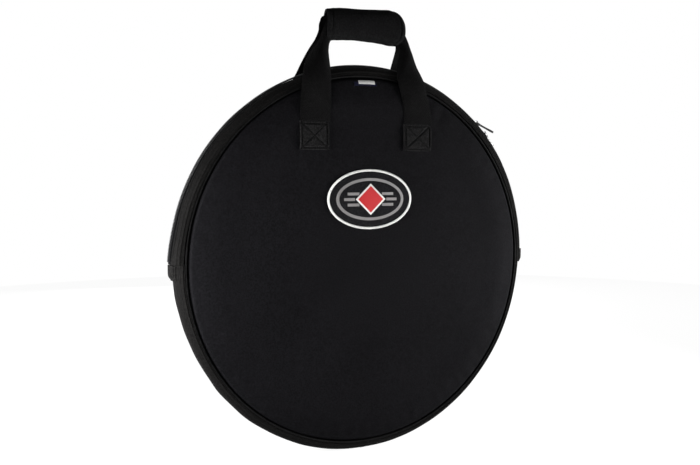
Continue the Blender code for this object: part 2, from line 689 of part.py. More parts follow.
def make_handles(lid):
    fold_depth = face_depth(HANDLE_SPREAD - WEBBING_WIDTH / 2, ANCHOR_TOP - ANCHOR_HEIGHT)
    fold_depth += ANCHOR_THICKNESS + 2 * GAP
    front = pivot("front_handle_fold", DISC_CENTRE + Vector((0, -fold_depth, ANCHOR_TOP)), lid)
    back = pivot("back_handle_fold", DISC_CENTRE + Vector((0, fold_depth, ANCHOR_TOP)))
    flap = pivot("grip_flap_fold", DISC_CENTRE + Vector((0, 0, GRIP_Z + GRIP_HALF_HEIGHT)), back)
    for name, hand in (("left", -1), ("right", 1)):
        finish(f"front_anchor_{name}", anchor(-1, hand), WEBBING_LOOK, lid)
        finish(f"back_anchor_{name}", anchor(1, hand), WEBBING_LOOK)
    finish("front_webbing", webbing(-1), WEBBING_LOOK, front)
    finish("back_webbing", webbing(1), WEBBING_LOOK, back)
    whole = ("top", "bottom")
    finish("grip_back_cover", extrude_grip(wrap_layer(1, 0, GRIP_COVER, whole)), GRIP_LOOK, back)
    finish("grip_back_pad", extrude_grip(wrap_layer(1, PAD_DEPTH, PAD_END_DEPTH, whole)), FOAM_LOOK, back)
    finish("grip_loop_strip", extrude_grip(loop_section()), LINING_LOOK, back)
    finish("grip_flap_cover", extrude_grip(wrap_layer(-1, 0, GRIP_COVER, whole)), GRIP_LOOK, flap)
    pad = wrap_layer(-1, PAD_DEPTH, PAD_END_DEPTH, ("top", "side"))
    finish("grip_flap_pad", extrude_grip(pad), FOAM_LOOK, flap)
    hook = wrap_layer(-1, PAD_DEPTH, PAD_END_DEPTH, ("bottom",))
    finish("grip_hook_strip", extrude_grip(hook), TAPE_LOOK, flap)


# Zip sliders, drawn at the top of the rim and turned round it to their place


def arc_block(section, start, stop, steps):
    """A section of (radius, y) points turned about the disc's axis, angles from the top."""
    return spin_section(section, start=math.pi / 2 - stop, sweep=stop - start, steps=steps)


def slider_body(name, look, run, nose):
    """Top plate with side walls, bottom plate, the post between the coils, and the bail."""
    half = SLIDER_LENGTH / 2 / COIL_TOP
    wall_inner = ZIP_PARTING + COIL_WIDTH + 2 * GAP
    wall_outer = wall_inner + SLIDER_WALL
    under = COIL_TOP + GAP
    wall_foot = TAPE_FACE + GAP
    hood = [(SLIDER_PLATE_TOP, -wall_outer), (SLIDER_PLATE_TOP, wall_outer), (wall_foot, wall_outer),
            (wall_foot, wall_inner), (under, wall_inner), (under, -wall_inner),
            (wall_foot, -wall_inner), (wall_foot, -wall_outer)]
    sole_top = TAPE_FACE - TAPE - GAP - FACET_DROP
    sole = [(sole_top, -wall_outer), (sole_top, wall_outer),
            (sole_top - SLIDER_PLATE, wall_outer), (sole_top - SLIDER_PLATE, -wall_outer)]
    bodies = []
    for section in (hood, sole):
        bm = arc_block(section, -half, half, SLIDER_STEPS)
        for vert in bm.verts:
            tail = 0.5 - nose * math.atan2(vert.co.x, vert.co.z) / half / 2
            if abs(vert.co.y) > wall_inner + SLIDER_WALL / 2:
                vert.co.y -= math.copysign(SLIDER_TAPER * tail, vert.co.y)
        bodies.append(bm)
    sink = SLIDER_PLATE / 2
    post = [(SLIDER_PLATE_TOP - sink, -POST_HALF_WIDTH), (SLIDER_PLATE_TOP - sink, POST_HALF_WIDTH),
            (sole_top - sink, POST_HALF_WIDTH), (sole_top - sink, -POST_HALF_WIDTH)]
    ends = sorted(nose * half * share for share in POST_SHARES)
    bodies.append(arc_block(post, ends[0], ends[1], SLIDER_STEPS))
    bodies.append(bail(SLIDER_PLATE_TOP - sink))
    main = finish(name, bodies[0], look, run, Vector())
    for i, bm in enumerate(bodies[1:]):
        combine(main, finish(f"{name}_piece_{i}", bm, look, run, Vector()), "UNION")
    return main


def bail(foot):
    """The arch that holds the pull: a bend about the pull's axis, on two legs from `foot`."""
    bm = bmesh.new()
    outer = BAIL_INNER + BAIL_THICKNESS
    corners = [(-BAIL_INNER, -BAIL_HALF_WIDTH), (-outer, -BAIL_HALF_WIDTH),
               (-outer, BAIL_HALF_WIDTH), (-BAIL_INNER, BAIL_HALF_WIDTH)]
    verts = [bm.verts.new((x, y, PULL_AXIS)) for x, y in corners]
    edges = [bm.edges.new((verts[i - 1], verts[i])) for i in range(len(verts))]
    turned = bmesh.ops.spin(bm, geom=verts + edges, cent=(0, 0, PULL_AXIS), axis=(0, 1, 0),
                            dvec=(0, 0, 0), angle=math.pi, steps=BAIL_STEPS, use_merge=False)
    last = [edge for edge in turned["geom_last"] if isinstance(edge, bmesh.types.BMEdge)]
    for loop in (edges, last):
        leg = bmesh.ops.extrude_edge_only(bm, edges=loop)["geom"]
        for vert in leg:
            if isinstance(vert, bmesh.types.BMVert):
                vert.co.z = foot
        ends = [edge for edge in leg if isinstance(edge, bmesh.types.BMEdge)]
        bmesh.ops.edgeloop_fill(bm, edges=ends)
    return bm


def pull(name, swing, skew):
    """Pull with an eye round the bail, lying along +X from its axis but a little askew."""
    eye_half = BAIL_HALF_WIDTH + PULL_PLAY + PULL_EYE_WALL
    hole_end = BAIL_INNER + BAIL_THICKNESS + 2 * PULL_PLAY
    eye_end = hole_end + PULL_EYE_WALL
    tail_start = PULL_LENGTH - PULL_TAIL_HALF_WIDTH
    half = PULL_THICKNESS / 2
    side = [(-half, eye_half), (eye_end, eye_half), (eye_end + eye_half, PULL_NECK_HALF_WIDTH)]
    for i in range(EDGE_STEPS + 1):
        angle = math.pi / 2 * (1 - i / EDGE_STEPS)
        side.append((tail_start + PULL_TAIL_HALF_WIDTH * math.cos(angle),
                     PULL_TAIL_HALF_WIDTH * math.sin(angle)))
    outline = side + [(x, -y) for x, y in side[-2::-1]]
    bm = bmesh.new()
    bm.faces.new([bm.verts.new((x, y, -half)) for x, y in outline])
    raised = bmesh.ops.extrude_face_region(bm, geom=bm.faces[:], use_keep_orig=True)
    for vert in raised["geom"]:
        if isinstance(vert, bmesh.types.BMVert):
            vert.co.z = half
    on_arch = Vector((BAIL_INNER + BAIL_THICKNESS / 2, 0, 0))
    turn = Matrix.Rotation(skew, 3, "Z")
    bmesh.ops.rotate(bm, cent=on_arch, matrix=turn, verts=bm.verts)
    body = finish(name, bm, PULL_LOOK, swing, Vector())
    hole = bmesh.new()
    bmesh.ops.create_cube(hole, size=1)
    size = Vector((hole_end - half, 2 * (BAIL_HALF_WIDTH + PULL_PLAY), PULL_THICKNESS + CUTTER_OVERRUN))
    middle = Vector(((hole_end + half) / 2, 0, 0))
    bmesh.ops.transform(hole, matrix=Matrix.Translation(middle) @ Matrix.Diagonal(size).to_4x4(),
                        verts=hole.verts)
    bmesh.ops.rotate(hole, cent=on_arch, matrix=turn, verts=hole.verts)
    combine(body, finish(f"{name}_eye", hole, PULL_LOOK, swing, Vector()), "DIFFERENCE")


def make_sliders():
    apart = (SLIDER_LENGTH + SLIDER_PARTING) / 2 / COIL_TOP
    for name, hand, tilt in (("left", 1, PULL_LEFT_TILT), ("right", -1, PULL_RIGHT_TILT)):
        run = pivot(f"slider_{name}_run", DISC_CENTRE)
        run.rotation_euler = (0, math.pi / 2 - SLIDERS_AT - hand * apart, 0)
        slider_body(f"slider_{name}_body", CHROME_LOOK, run, hand)
        swing = pivot(f"pull_{name}_swing", DISC_CENTRE + Vector((0, 0, PULL_AXIS)), run)
        swing.rotation_euler = (0, -tilt, 0)
        pull(f"pull_{name}", swing, -hand * PULL_SKEW)


clear_scene()
lid_fold = make_shell()
make_trim(lid_fold)
make_handles(lid_fold)
make_sliders()
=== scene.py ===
import math
import bmesh
import bpy
from mathutils import Matrix, Vector, noise


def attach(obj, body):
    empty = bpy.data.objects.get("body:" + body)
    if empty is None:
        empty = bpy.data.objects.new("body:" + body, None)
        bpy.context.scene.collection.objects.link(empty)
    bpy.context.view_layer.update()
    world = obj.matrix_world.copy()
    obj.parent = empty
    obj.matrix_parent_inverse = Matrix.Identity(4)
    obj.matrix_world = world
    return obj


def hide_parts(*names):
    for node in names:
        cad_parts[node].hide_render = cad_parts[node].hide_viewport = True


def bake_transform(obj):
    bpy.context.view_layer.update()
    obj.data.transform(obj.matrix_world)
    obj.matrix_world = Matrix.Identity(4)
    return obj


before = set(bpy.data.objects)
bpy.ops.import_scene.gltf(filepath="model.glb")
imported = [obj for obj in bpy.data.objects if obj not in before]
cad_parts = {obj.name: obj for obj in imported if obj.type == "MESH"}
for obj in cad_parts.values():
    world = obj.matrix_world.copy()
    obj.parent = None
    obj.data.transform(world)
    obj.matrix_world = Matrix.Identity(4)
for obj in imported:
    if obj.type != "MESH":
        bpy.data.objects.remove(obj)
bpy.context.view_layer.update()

# The room: white paper on the floor that runs into a white surround. A strong soft box
# stands close on the right, weak ones on the left and in front, a wide one behind.
disc = Vector((0, 0, 0.3028))
bpy.context.scene.view_settings.view_transform = "Standard"


def soft_box(name, place, width, height, watts):
    """A rectangular lamp that faces the middle of the case and isn't seen itself."""
    data = bpy.data.lights.new(name, "AREA")
    data.shape = "RECTANGLE"
    data.size = width
    data.size_y = height
    data.energy = watts
    lamp = bpy.data.objects.new(name, data)
    bpy.context.scene.collection.objects.link(lamp)
    lamp.location = place
    lamp.rotation_euler = (disc - Vector(place)).to_track_quat("-Z", "Y").to_euler()
    lamp.visible_camera = False


soft_box("soft_box_left", (-0.61, -0.128, 0.32), 0.16, 0.24, 7.2)
soft_box("soft_box_right", (0.90, -0.31, 0.28), 0.30, 0.42, 16)
soft_box("soft_box_front", (-0.2, -2.4, 0.22), 1.4, 0.4, 4.5)
soft_box("soft_box_back", (0.5, 1.9, 0.6), 1.4, 1.0, 26)


def add_node(tree, kind, inputs=None, operation=None, bands=None):
    """Adds a shader node and gives its outputs. An input is a value or another's output."""
    made = tree.nodes.new("ShaderNode" + kind)
    if operation:
        made.operation = operation
    if bands:
        made.bands_direction = bands
    for name, value in (inputs or {}).items():
        if isinstance(value, bpy.types.NodeSocket):
            tree.links.new(value, made.inputs[name])
        else:
            made.inputs[name].default_value = value
    return made.outputs


def new_finish(name):
    """A new material with its node tree and its skin."""
    made = bpy.data.materials.new(name)
    made.use_nodes = True
    return made, made.node_tree, made.node_tree.nodes["Principled BSDF"]


def as_mesh(name, bm):
    """Turns a bmesh into a mesh and lets it go."""
    mesh = bpy.data.meshes.new(name)
    bm.to_mesh(mesh)
    bm.free()
    return mesh


def seen_direct(tree):
    """1 for a ray from the eye, off gloss or through glass, and 0 for one that lights."""
    ray = add_node(tree, "LightPath")
    shine = add_node(tree, "Math", {0: ray["Is Camera Ray"], 1: ray["Is Glossy Ray"]}, "MAXIMUM")
    return add_node(tree, "Math", {0: shine[0], 1: ray["Is Transmission Ray"]}, "MAXIMUM")[0]


world = bpy.data.worlds.new("white_surround")
bpy.context.scene.world = world
world.use_nodes = True
surround = world.node_tree
strength = add_node(surround, "MapRange", {"To Min": 0.10, "To Max": 1.0, "Value": seen_direct(surround)})
surround.links.new(strength[0], surround.nodes["Background"].inputs["Strength"])
surround.nodes["Background"].inputs["Color"].default_value = (1, 1, 1, 1)

floor_bm = bmesh.new()
bmesh.ops.create_circle(floor_bm, cap_ends=True, segments=96, radius=2.4)
floor = bpy.data.objects.new("studio_floor", as_mesh("studio_floor", floor_bm))
bpy.context.scene.collection.objects.link(floor)
paper, tree, skin = new_finish("white_paper")
skin.inputs["Base Color"].default_value = (0.86, 0.86, 0.86, 1)
skin.inputs["Roughness"].default_value = 0.9
skin.inputs["Specular IOR Level"].default_value = 0.0
glow = add_node(tree, "Emission", {"Strength": 1.102})
share = add_node(tree, "Math", {0: seen_direct(tree), 1: 0.86}, "MULTIPLY")
mix = add_node(tree, "MixShader", {0: share[0], 1: skin.outputs[0], 2: glow[0]})
tree.links.new(mix[0], tree.nodes["Material Output"].inputs["Surface"])
floor.data.materials.append(paper)

camera_distance = 1.32
camera_side = Vector((-0.4484, -0.8876, 0.1054))
camera_data = bpy.data.cameras.new("camera")
camera_data.lens = 42.17
camera_data.shift_x = -0.0171
camera_data.shift_y = 0.0416
camera_data.clip_end = 50
camera = bpy.data.objects.new("camera", camera_data)
bpy.context.scene.collection.objects.link(camera)
camera.location = disc + camera_distance * camera_side
camera.rotation_euler = (disc - camera.location).to_track_quat("-Z", "Y").to_euler()
bpy.context.scene.camera = camera

# The two round panels: black woven nylon over thick foam, sewn at the rim, with a
# low crown. They are blown up a little as cloth, so that the seam draws small puckers.
panel_radius = 0.286
seam_depth = 0.015
edge_round = 0.010
panel_crown = 0.0035
edge_fall = 0.0025
edge_fall_start = 0.225
edge_swell = 0.0022
puff_cap = 0.0022
cloth_thick = 0.0012
seam_inner = 0.0105
seam_outer = 0.0125
pinned_width = 0.0012


def woven(name, colour, pitch, bump, rough, uv=False, fleck=0.35, gloss=0.012, fuzz=0.01):
    """Plain weave of one thread width, in object space or along the piece's own map."""
    made, tree, skin = new_finish(name)
    spot = add_node(tree, "TexCoord")
    upright = (0 if uv else math.pi / 2, 0, 0)
    lay = add_node(tree, "Mapping", {"Vector": spot["UV" if uv else "Object"], "Rotation": upright})
    over = add_node(tree, "TexWave", {"Vector": lay[0], "Scale": 0.314 / pitch})
    along = add_node(tree, "TexWave", {"Vector": lay[0], "Scale": 0.314 / pitch}, bands="Y")
    squares = add_node(tree, "TexChecker", {"Vector": lay[0], "Scale": 1 / pitch})
    thread = add_node(tree, "Mix", {"Factor": squares["Fac"], "A": over["Fac"], "B": along["Fac"]})
    height = add_node(tree, "Bump", {"Height": thread[0], "Strength": bump, "Distance": pitch * 0.4})
    wear = add_node(tree, "TexNoise", {"Vector": spot["Object"], "Scale": 9, "Detail": 5})
    lint = add_node(tree, "TexNoise", {"Vector": spot["Object"], "Scale": 420, "Detail": 2})
    tone = add_node(tree, "MapRange", {"Value": wear["Fac"], "From Min": 0.3, "From Max": 0.7,
                                       "To Min": 0.88, "To Max": 1.14})
    speck = add_node(tree, "MapRange", {"Value": lint["Fac"], "From Min": 0.35, "From Max": 0.8,
                                        "To Min": 1 - fleck, "To Max": 1 + 2 * fleck})
    both = add_node(tree, "Math", {0: tone[0], 1: speck[0]}, "MULTIPLY")
    dye = add_node(tree, "VectorMath", {0: colour, "Scale": both[0]}, "SCALE")
    dull = add_node(tree, "MapRange", {"Value": thread[0], "To Min": rough - 0.08, "To Max": rough + 0.08})
    tree.links.new(dye[0], skin.inputs["Base Color"])
    tree.links.new(dull[0], skin.inputs["Roughness"])
    tree.links.new(height[0], skin.inputs["Normal"])
    skin.inputs["Specular IOR Level"].default_value = gloss
    skin.inputs["Sheen Weight"].default_value = fuzz
    skin.inputs["Sheen Roughness"].default_value = 0.45
    skin.inputs["Sheen Tint"].default_value = (0.5, 0.5, 0.52, 1)
    return made


panel_nylon = woven("panel_nylon", (0.0047, 0.0046, 0.0053), 0.0009, 0.55, 0.62)


def turned(section, segments=192, start=-math.pi / 2, sweep=2 * math.pi, closed=True):
    """Turns a section of (radius, y) points about the axis of the disc."""
    bm = bmesh.new()
    verts = [bm.verts.new((r * math.cos(start), y, r * math.sin(start))) for r, y in section]
    edges = [bm.edges.new(pair) for pair in zip(verts, verts[1:])]
    if closed:
        edges.append(bm.edges.new((verts[-1], verts[0])))
    whole = sweep > 2 * math.pi - 0.001
    ends = bmesh.ops.spin(bm, geom=verts + edges, cent=(0, 0, 0), axis=(0, -1, 0), dvec=(0, 0, 0),
                          angle=sweep, steps=segments, use_merge=whole)
    if closed and not whole:
        bmesh.ops.edgeloop_fill(bm, edges=edges)
        last = [edge for edge in ends["geom_last"] if isinstance(edge, bmesh.types.BMEdge)]
        bmesh.ops.edgeloop_fill(bm, edges=last)
    bmesh.ops.remove_doubles(bm, verts=bm.verts, dist=0.00002)
    bmesh.ops.recalc_face_normals(bm, faces=bm.faces)
    return bm


def piece(name, bm, finish, body=None, replaced=(), centred=True):
    """Makes the object, puts it about the middle of the disc, and lets it ride."""
    if centred:
        bmesh.ops.translate(bm, verts=bm.verts, vec=disc)
    mesh = as_mesh(name, bm)
    mesh.shade_smooth()
    mesh.set_sharp_from_angle(angle=math.radians(42))
    mesh.materials.append(finish)
    made = bpy.data.objects.new(name, mesh)
    bpy.context.scene.collection.objects.link(made)
    if body:
        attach(made, body)
    if replaced:
        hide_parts(*replaced)
    return made


fold_height = 0.3128


def held(value, low=0, high=1):
    """Keeps a value between two bounds."""
    return min(max(value, low), high)


def polar(spot):
    """Distance of a point from the axis of the disc, and its angle round it."""
    return math.hypot(spot.x, spot.z), math.atan2(spot.z, spot.x)


def panel_face(radius):
    """Distance of the cloth from the middle plane, from the axis to the seam."""
    inner = panel_radius - edge_round
    fall = edge_fall * held((radius - edge_fall_start) / (inner - edge_fall_start)) ** 2
    if radius < inner:
        return seam_depth + edge_round + panel_crown * (1 - (radius / inner) ** 2) - fall
    over = min((radius - inner) / edge_round, 1)
    return seam_depth + (edge_round - fall) * math.sqrt(1 - over * over)


def swelling(radius):
    """Share of the outward roll that the foam gives the edge, 1 at most and 0 at the seam."""
    over = held((radius - panel_radius + edge_round) / edge_round)
    return 2.6 * over * over * math.sqrt(1 - over * over)


def blown_panel(name, side):
    """One panel as a sheet, pinned at the seam and blown up against its own foam."""
    radii = [0.0052 * i for i in range(53)]
    quarter = [math.pi / 2 * i / 10 for i in range(11)]
    radii += [panel_radius - edge_round + edge_round * math.sin(turn) for turn in quarter]
    section = [(r, side * panel_face(r)) for r in sorted(radii)]
    section = [(r + edge_swell * swelling(r), y) for r, y in section]
    section += [(panel_radius, side * seam_outer), (panel_radius - 0.0004, side * seam_inner)]
    bm = turned(section, 240, closed=False)
    for vert in bm.verts:
        radius, angle = polar(vert.co)
        near = math.exp(-((radius - panel_radius + 0.014) / 0.012) ** 2)
        ripple = noise.noise(Vector((26 * math.cos(angle), 26 * math.sin(angle), 3 + side)))
        broad = noise.noise(Vector((vert.co.x * 7, vert.co.z * 7, 11 * side)))
        fade = held((panel_radius - radius) / 0.05)
        vert.co.y += side * (0.0010 * near * ripple + 0.0010 * fade * broad)
    made = piece(name, bm, panel_nylon)
    rest = [vert.co.copy() for vert in made.data.vertices]
    seam = made.vertex_groups.new(name="seam")
    pinned = [v.index for v in made.data.vertices if (v.co - disc).xz.length > panel_radius - pinned_width]
    seam.add(pinned, 1.0, "REPLACE")
    cloth = made.modifiers.new("Cloth", "CLOTH")
    cloth.settings.vertex_group_mass = "seam"
    cloth.settings.quality = 6
    cloth.settings.mass = 0.3
    cloth.settings.tension_stiffness = 25
    cloth.settings.compression_stiffness = 25
    cloth.settings.bending_stiffness = 3
    cloth.settings.use_pressure = True
    cloth.settings.uniform_pressure_force = 4.0
    cloth.settings.shrink_min = -0.004
    cloth.settings.effector_weights.gravity = 0
    cloth.collision_settings.use_collision = False
    cloth.point_cache.frame_end = 20
    for step in range(1, 21):
        bpy.context.scene.frame_set(step)
    settled = made.evaluated_get(bpy.context.evaluated_depsgraph_get())
    blown = [vert.co.copy() for vert in settled.data.vertices]
    made.modifiers.remove(cloth)
    bpy.context.scene.frame_set(1)
    for vert, before, after in zip(made.data.vertices, rest, blown):
        move = after - before
        if move.length > puff_cap:
            move *= puff_cap / move.length
        vert.co = before + move
        radius = (vert.co - disc).xz.length
        spare = held((radius - 0.22) / 0.03)
        highest = panel_face(radius) + 0.0002 + 0.0016 * spare
        vert.co.y = side * min(abs(vert.co.y), highest)
    made.data.update()
    return made


front_panel = blown_panel("front_panel", -1)
back_panel = blown_panel("back_panel", 1)
for made in (front_panel, back_panel):
    wall = made.modifiers.new("Wall", "SOLIDIFY")
    wall.thickness = cloth_thick
    wall.offset = -1
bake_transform(front_panel)
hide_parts("front_upper_shell", "front_lower_shell", "front_upper_foam", "front_lower_foam")
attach(back_panel, "case")
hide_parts("back_panel_shell", "back_panel_foam")

# The lining: grey brushed fleece on the inside of both panels, sewn in at the rim
# and covering the foam. It shows only when the front is folded down.
lining_face = 0.0147
lining_back = 0.0139
lining_margin = 0.0015
fleece = woven("lining_fleece", (0.05, 0.05, 0.056), 0.0016, 0.3, 0.95, fleck=0.6, fuzz=0.5)


def lining_disc(side):
    """A thin round sheet on the inside of one panel, with slight waves."""
    reach = panel_radius - lining_margin
    ring = [(reach * i / 40, side * lining_face) for i in range(41)]
    bm = turned(ring + [(r, side * lining_back) for r, y in ring[::-1]], 120)
    for vert in bm.verts:
        vert.co.y -= side * 0.0003 * noise.noise(vert.co * 22)
    return bm


piece("back_lining", lining_disc(1), fleece, "case", ["back_panel_lining"])
front_lining = piece("front_lining", lining_disc(-1), fleece, None,
                     ["front_upper_lining", "front_lower_lining"])
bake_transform(front_lining)

# The lower gusset: one strip of the same nylon round the lower half, padded, with a
# sewn line near each edge. Its foot is pressed flat, and its ends meet under the foot.
rim_radius = 0.305
rim_shoulder = 0.0145
rim_flat = 0.0045
band_start = 0.2930
cord_cover = 0.2945
gusset_shape = [(170, -0.0005), (186, 0.0002), (192, -0.0011), (202, -0.0021), (212, -0.0019),
                (218, -0.0005), (224, -0.0004), (230, 0.0005), (237, 0), (245, 0), (258, 0.0007), (270, 0),
                (295, -0.0004), (320, -0.0016), (345, -0.0022), (370, -0.0010)]
zip_shape = [(-10, 0.0), (12, 0.0006), (28, 0.0026), (42, 0.0031), (58, 0.0016), (95, 0.0), (112, -0.0012),
             (126, -0.0010), (137, 0.0), (150, 0.0008), (165, 0.0016), (181, 0.0044), (190, 0.0044)]
outer_line = 0.0106
inner_line = 0.0151
crease_line = 0.0175
rim_nylon = woven("rim_nylon", (0.0050, 0.0048, 0.0047), 0.0009, 0.5, 0.60, uv=True)


def eased(table, value):
    """Reads a table of (place, amount) pairs with soft steps between its rows."""
    if value <= table[0][0]:
        return table[0][1]
    for (a, low), (b, high) in zip(table, table[1:]):
        if value <= b:
            part = (value - a) / (b - a)
            return low + (high - low) * part * part * (3 - 2 * part)
    return table[-1][1]


def round_profile(radius, depth, first, last, steps):
    """The rim's outline by angle round its shoulders, `depth` under the cloth."""
    line = []
    for i in range(steps + 1):
        turn = math.radians(first + (last - first) * i / steps)
        reach = rim_shoulder - depth
        y = reach * math.sin(turn)
        y += math.copysign(rim_flat, y) if abs(turn) > 0.001 else 0
        line.append((radius - rim_shoulder + reach * math.cos(turn), y))
    return line


def past_flat(y):
    """Share of the shoulder's reach at one place across the rim, 0 on its flat top."""
    return held((abs(y) - rim_flat) / rim_shoulder)


def shoulder(radius, y):
    """Radius of the rim's cloth at one place across it."""
    over = past_flat(y)
    return radius - rim_shoulder + rim_shoulder * math.sqrt(1 - over * over)


def bend_rim(bm, table):
    """Moves a turned rim piece in or out to the outline that the table gives by angle."""
    for vert in bm.verts:
        radius, angle = polar(vert.co)
        angle = math.degrees(angle)
        if table is gusset_shape and angle < 20:
            angle += 360
        weight = held((radius - 0.288) / 0.014)
        factor = 1 + eased(table, angle) * weight / radius
        vert.co.x *= factor
        vert.co.z *= factor


def sink_lines(bm, seed, lines):
    """Presses the sewn lines into the cloth and gives it low dents between them."""
    for vert in bm.verts:
        radius, angle = polar(vert.co)
        if radius > cord_cover:
            move = noise.noise(Vector((angle * 9, vert.co.y * 30, seed))) * 0.0006
            for place, width, deep in lines:
                move -= math.exp(-((abs(vert.co.y) - place) / width) ** 2) * deep
            lean = math.asin(past_flat(vert.co.y))
            vert.co.x *= 1 + move * math.cos(lean) / radius
            vert.co.z *= 1 + move * math.cos(lean) / radius
            vert.co.y += math.copysign(move * math.sin(lean), vert.co.y)


def map_rim(bm):
    """A map with metres along the rim and across it, for the weave."""
    layer = bm.loops.layers.uv.verify()
    for face in bm.faces:
        base = polar(face.calc_center_median())[1]
        for loop in face.loops:
            radius, angle = polar(loop.vert.co)
            angle += 2 * math.pi * round((base - angle) / (2 * math.pi))
            y = loop.vert.co.y
            loop[layer].uv = (angle * 0.3, y + math.copysign(rim_radius - radius, y))


def lower_arc(section, segments=132):
    """Turns a section through the lower half, up to the fold on each side."""
    fold = math.asin((fold_height - disc.z) / rim_radius)
    return turned(section, segments, start=-math.pi - fold, sweep=math.pi + 2 * fold)


def settle_foot(bm, depth_of_cloth):
    """Presses the foot flat on the floor."""
    for vert in bm.verts:
        vert.co.z = max(vert.co.z, depth_of_cloth - disc.z)


def round_edges(bm, offset, segments=2, turn=0.9):
    """Breaks every edge that turns by more than `turn` radians."""
    sharp = [edge for edge in bm.edges if edge.is_manifold and edge.calc_face_angle() > turn]
    bmesh.ops.bevel(bm, geom=sharp, offset=offset, segments=segments, profile=0.5, affect="EDGES",
                    material=-1)


outside = [(r, y) for r, y in round_profile(rim_radius, 0, -88, 88, 110) if r > band_start]
inside = [(r, y) for r, y in round_profile(rim_radius, cloth_thick, -86, 86, 30) if r > band_start]
bm = lower_arc([(band_start, -seam_inner)] + outside
               + [(band_start, seam_inner), (band_start + cloth_thick, seam_inner)]
               + inside[::-1] + [(band_start + cloth_thick, -seam_inner)])
bend_rim(bm, gusset_shape)
sink_lines(bm, 2.0, [(inner_line, 0.0007, 0.0014), (crease_line, 0.0007, 0.0016)])
settle_foot(bm, 0.0)
map_rim(bm)
gusset = piece("lower_gusset", bm, rim_nylon, "case", ["lower_gusset_shell", "lower_gusset_foam"])

lining_depth = 0.0058
lining_bottom = 0.0066
bm = lower_arc(round_profile(rim_radius, lining_depth, -70, 70, 24)
               + round_profile(rim_radius, lining_bottom, 70, -70, 24), 96)
settle_foot(bm, lining_bottom)
piece("gusset_lining", bm, fleece, "case", ["lower_gusset_lining"])

# Where the gusset's two ends meet, just left of the foot's middle: one end is folded
# under and lapped over the other.
lap_start = -math.pi / 2 - 0.035
lap_sweep = 0.026
lap_top = round_profile(rim_radius + 0.0007, 0, -86, 86, 40)
lap_under = round_profile(rim_radius - 0.0004, 0, 86, -86, 40)
lap = turned(lap_top + lap_under, 8, start=lap_start, sweep=lap_sweep)
bend_rim(lap, gusset_shape)
settle_foot(lap, 0.0004)
map_rim(lap)
round_edges(lap, 0.0003, turn=1.0)
piece("gusset_end_lap", lap, rim_nylon, "case")

# Stitches: bonded black thread, one short oval for each stitch, sunk a little in the cloth. The same
# stitch is laid along every sewn line of the case. Beside the lap's end the line is laid so close and
# wide that it is a dark strip: a real seam with painted shadow beside the lap's edge.
stitch_pitch = 0.0034
gusset_sink = 0.0004
# Painted shadow: the seam beside the lap's edge has stitches close and wide enough to make a dark strip.
lap_shadow_seam_pitch = 0.0014
lap_shadow_seam_width = 0.0024
lap_shadow_seam_start = 0.0125
lap_shadow_seam_length = 0.0062
outer_width = 0.0021
inner_width = 0.0019
crease_width = 0.0030
thread_black, tree, skin = new_finish("sewing_thread")
spot = add_node(tree, "TexCoord")["Object"]
twist = add_node(tree, "TexWave", {"Vector": spot, "Scale": 700}, bands="DIAGONAL")
raised = add_node(tree, "Bump", {"Height": twist["Fac"], "Strength": 0.4, "Distance": 0.0002})
tree.links.new(raised[0], skin.inputs["Normal"])
skin.inputs["Base Color"].default_value = (0.0012, 0.0012, 0.0013, 1)
skin.inputs["Roughness"].default_value = 0.6
skin.inputs["Specular IOR Level"].default_value = 0.05


def one_stitch(length, width):
    """A flat oval of thread."""
    bm = bmesh.new()
    bmesh.ops.create_uvsphere(bm, u_segments=6, v_segments=4, radius=0.5)
    bmesh.ops.scale(bm, vec=(width, min(width * 0.7, 0.0011), length), verts=bm.verts)
    return as_mesh("stitch", bm)


def lay_copy(bm, pattern, place):
    """Adds one copy of a mesh, moved to its place."""
    before = len(bm.verts)
    bm.from_mesh(pattern)
    bm.verts.ensure_lookup_table()
    bmesh.ops.transform(bm, matrix=place, verts=bm.verts[before:])


def sew(bm, path, pitch, width):
    """Lays stitches along a path of (place, outward) pairs that are close together."""
    pattern = one_stitch(pitch * 0.94, width)
    travelled = 0.0
    for (here, out), (there, next_out) in zip(path, path[1:]):
        run = (there - here).length
        while travelled < run:
            part = travelled / run
            along = (there - here).normalized()
            across = out.lerp(next_out, part).cross(along).normalized()
            turn = Matrix((across, along.cross(across), along)).transposed().to_4x4()
            lay_copy(bm, pattern, Matrix.Translation(here.lerp(there, part)) @ turn)
            travelled += pitch
        travelled -= run
    bpy.data.meshes.remove(pattern)


def rim_path(radius, y, table, first, last, step=1.5):
    """Points round the rim at one place across it, with the outward direction of the cloth."""
    path = []
    count = round((last - first) / step)
    lean = math.asin(past_flat(y))
    for i in range(count + 1):
        degrees = first + (last - first) * i / count
        angle = math.radians(degrees)
        reach = shoulder(radius, y) + eased(table, degrees)
        spot = Vector((reach * math.cos(angle), y, max(reach * math.sin(angle), 0.0010 - disc.z)))
        out = Vector((math.cos(angle) * math.cos(lean), math.copysign(math.sin(lean), y),
                      math.sin(angle) * math.cos(lean)))
        path.append((spot, out))
    return path


bm = bmesh.new()
for side in (-1, 1):
    for y, width in ((inner_line, inner_width), (crease_line, crease_width)):
        sew(bm, rim_path(rim_radius - gusset_sink, side * y, gusset_shape, 184, 356), stitch_pitch, width)
# A real seam drawn as a dark strip, which also paints the shadow beside the lap's right edge.
lap_shadow_seam_angle = lap_start + lap_sweep + 0.0060
for side in (-1, 1):
    seam = []
    for i in range(21):
        y = lap_shadow_seam_start + lap_shadow_seam_length * i / 20
        reach = min(shoulder(rim_radius, y) + 0.0002, disc.z - 0.0012)
        lean = math.asin(past_flat(y))
        out = Vector((0, side * math.sin(lean), -math.cos(lean)))
        seam.append((Vector((reach * math.cos(lap_shadow_seam_angle), side * y, reach * math.sin(lap_shadow_seam_angle))), out))
    sew(bm, seam, lap_shadow_seam_pitch, lap_shadow_seam_width)
piece("gusset_stitching", bm, thread_black, "case")

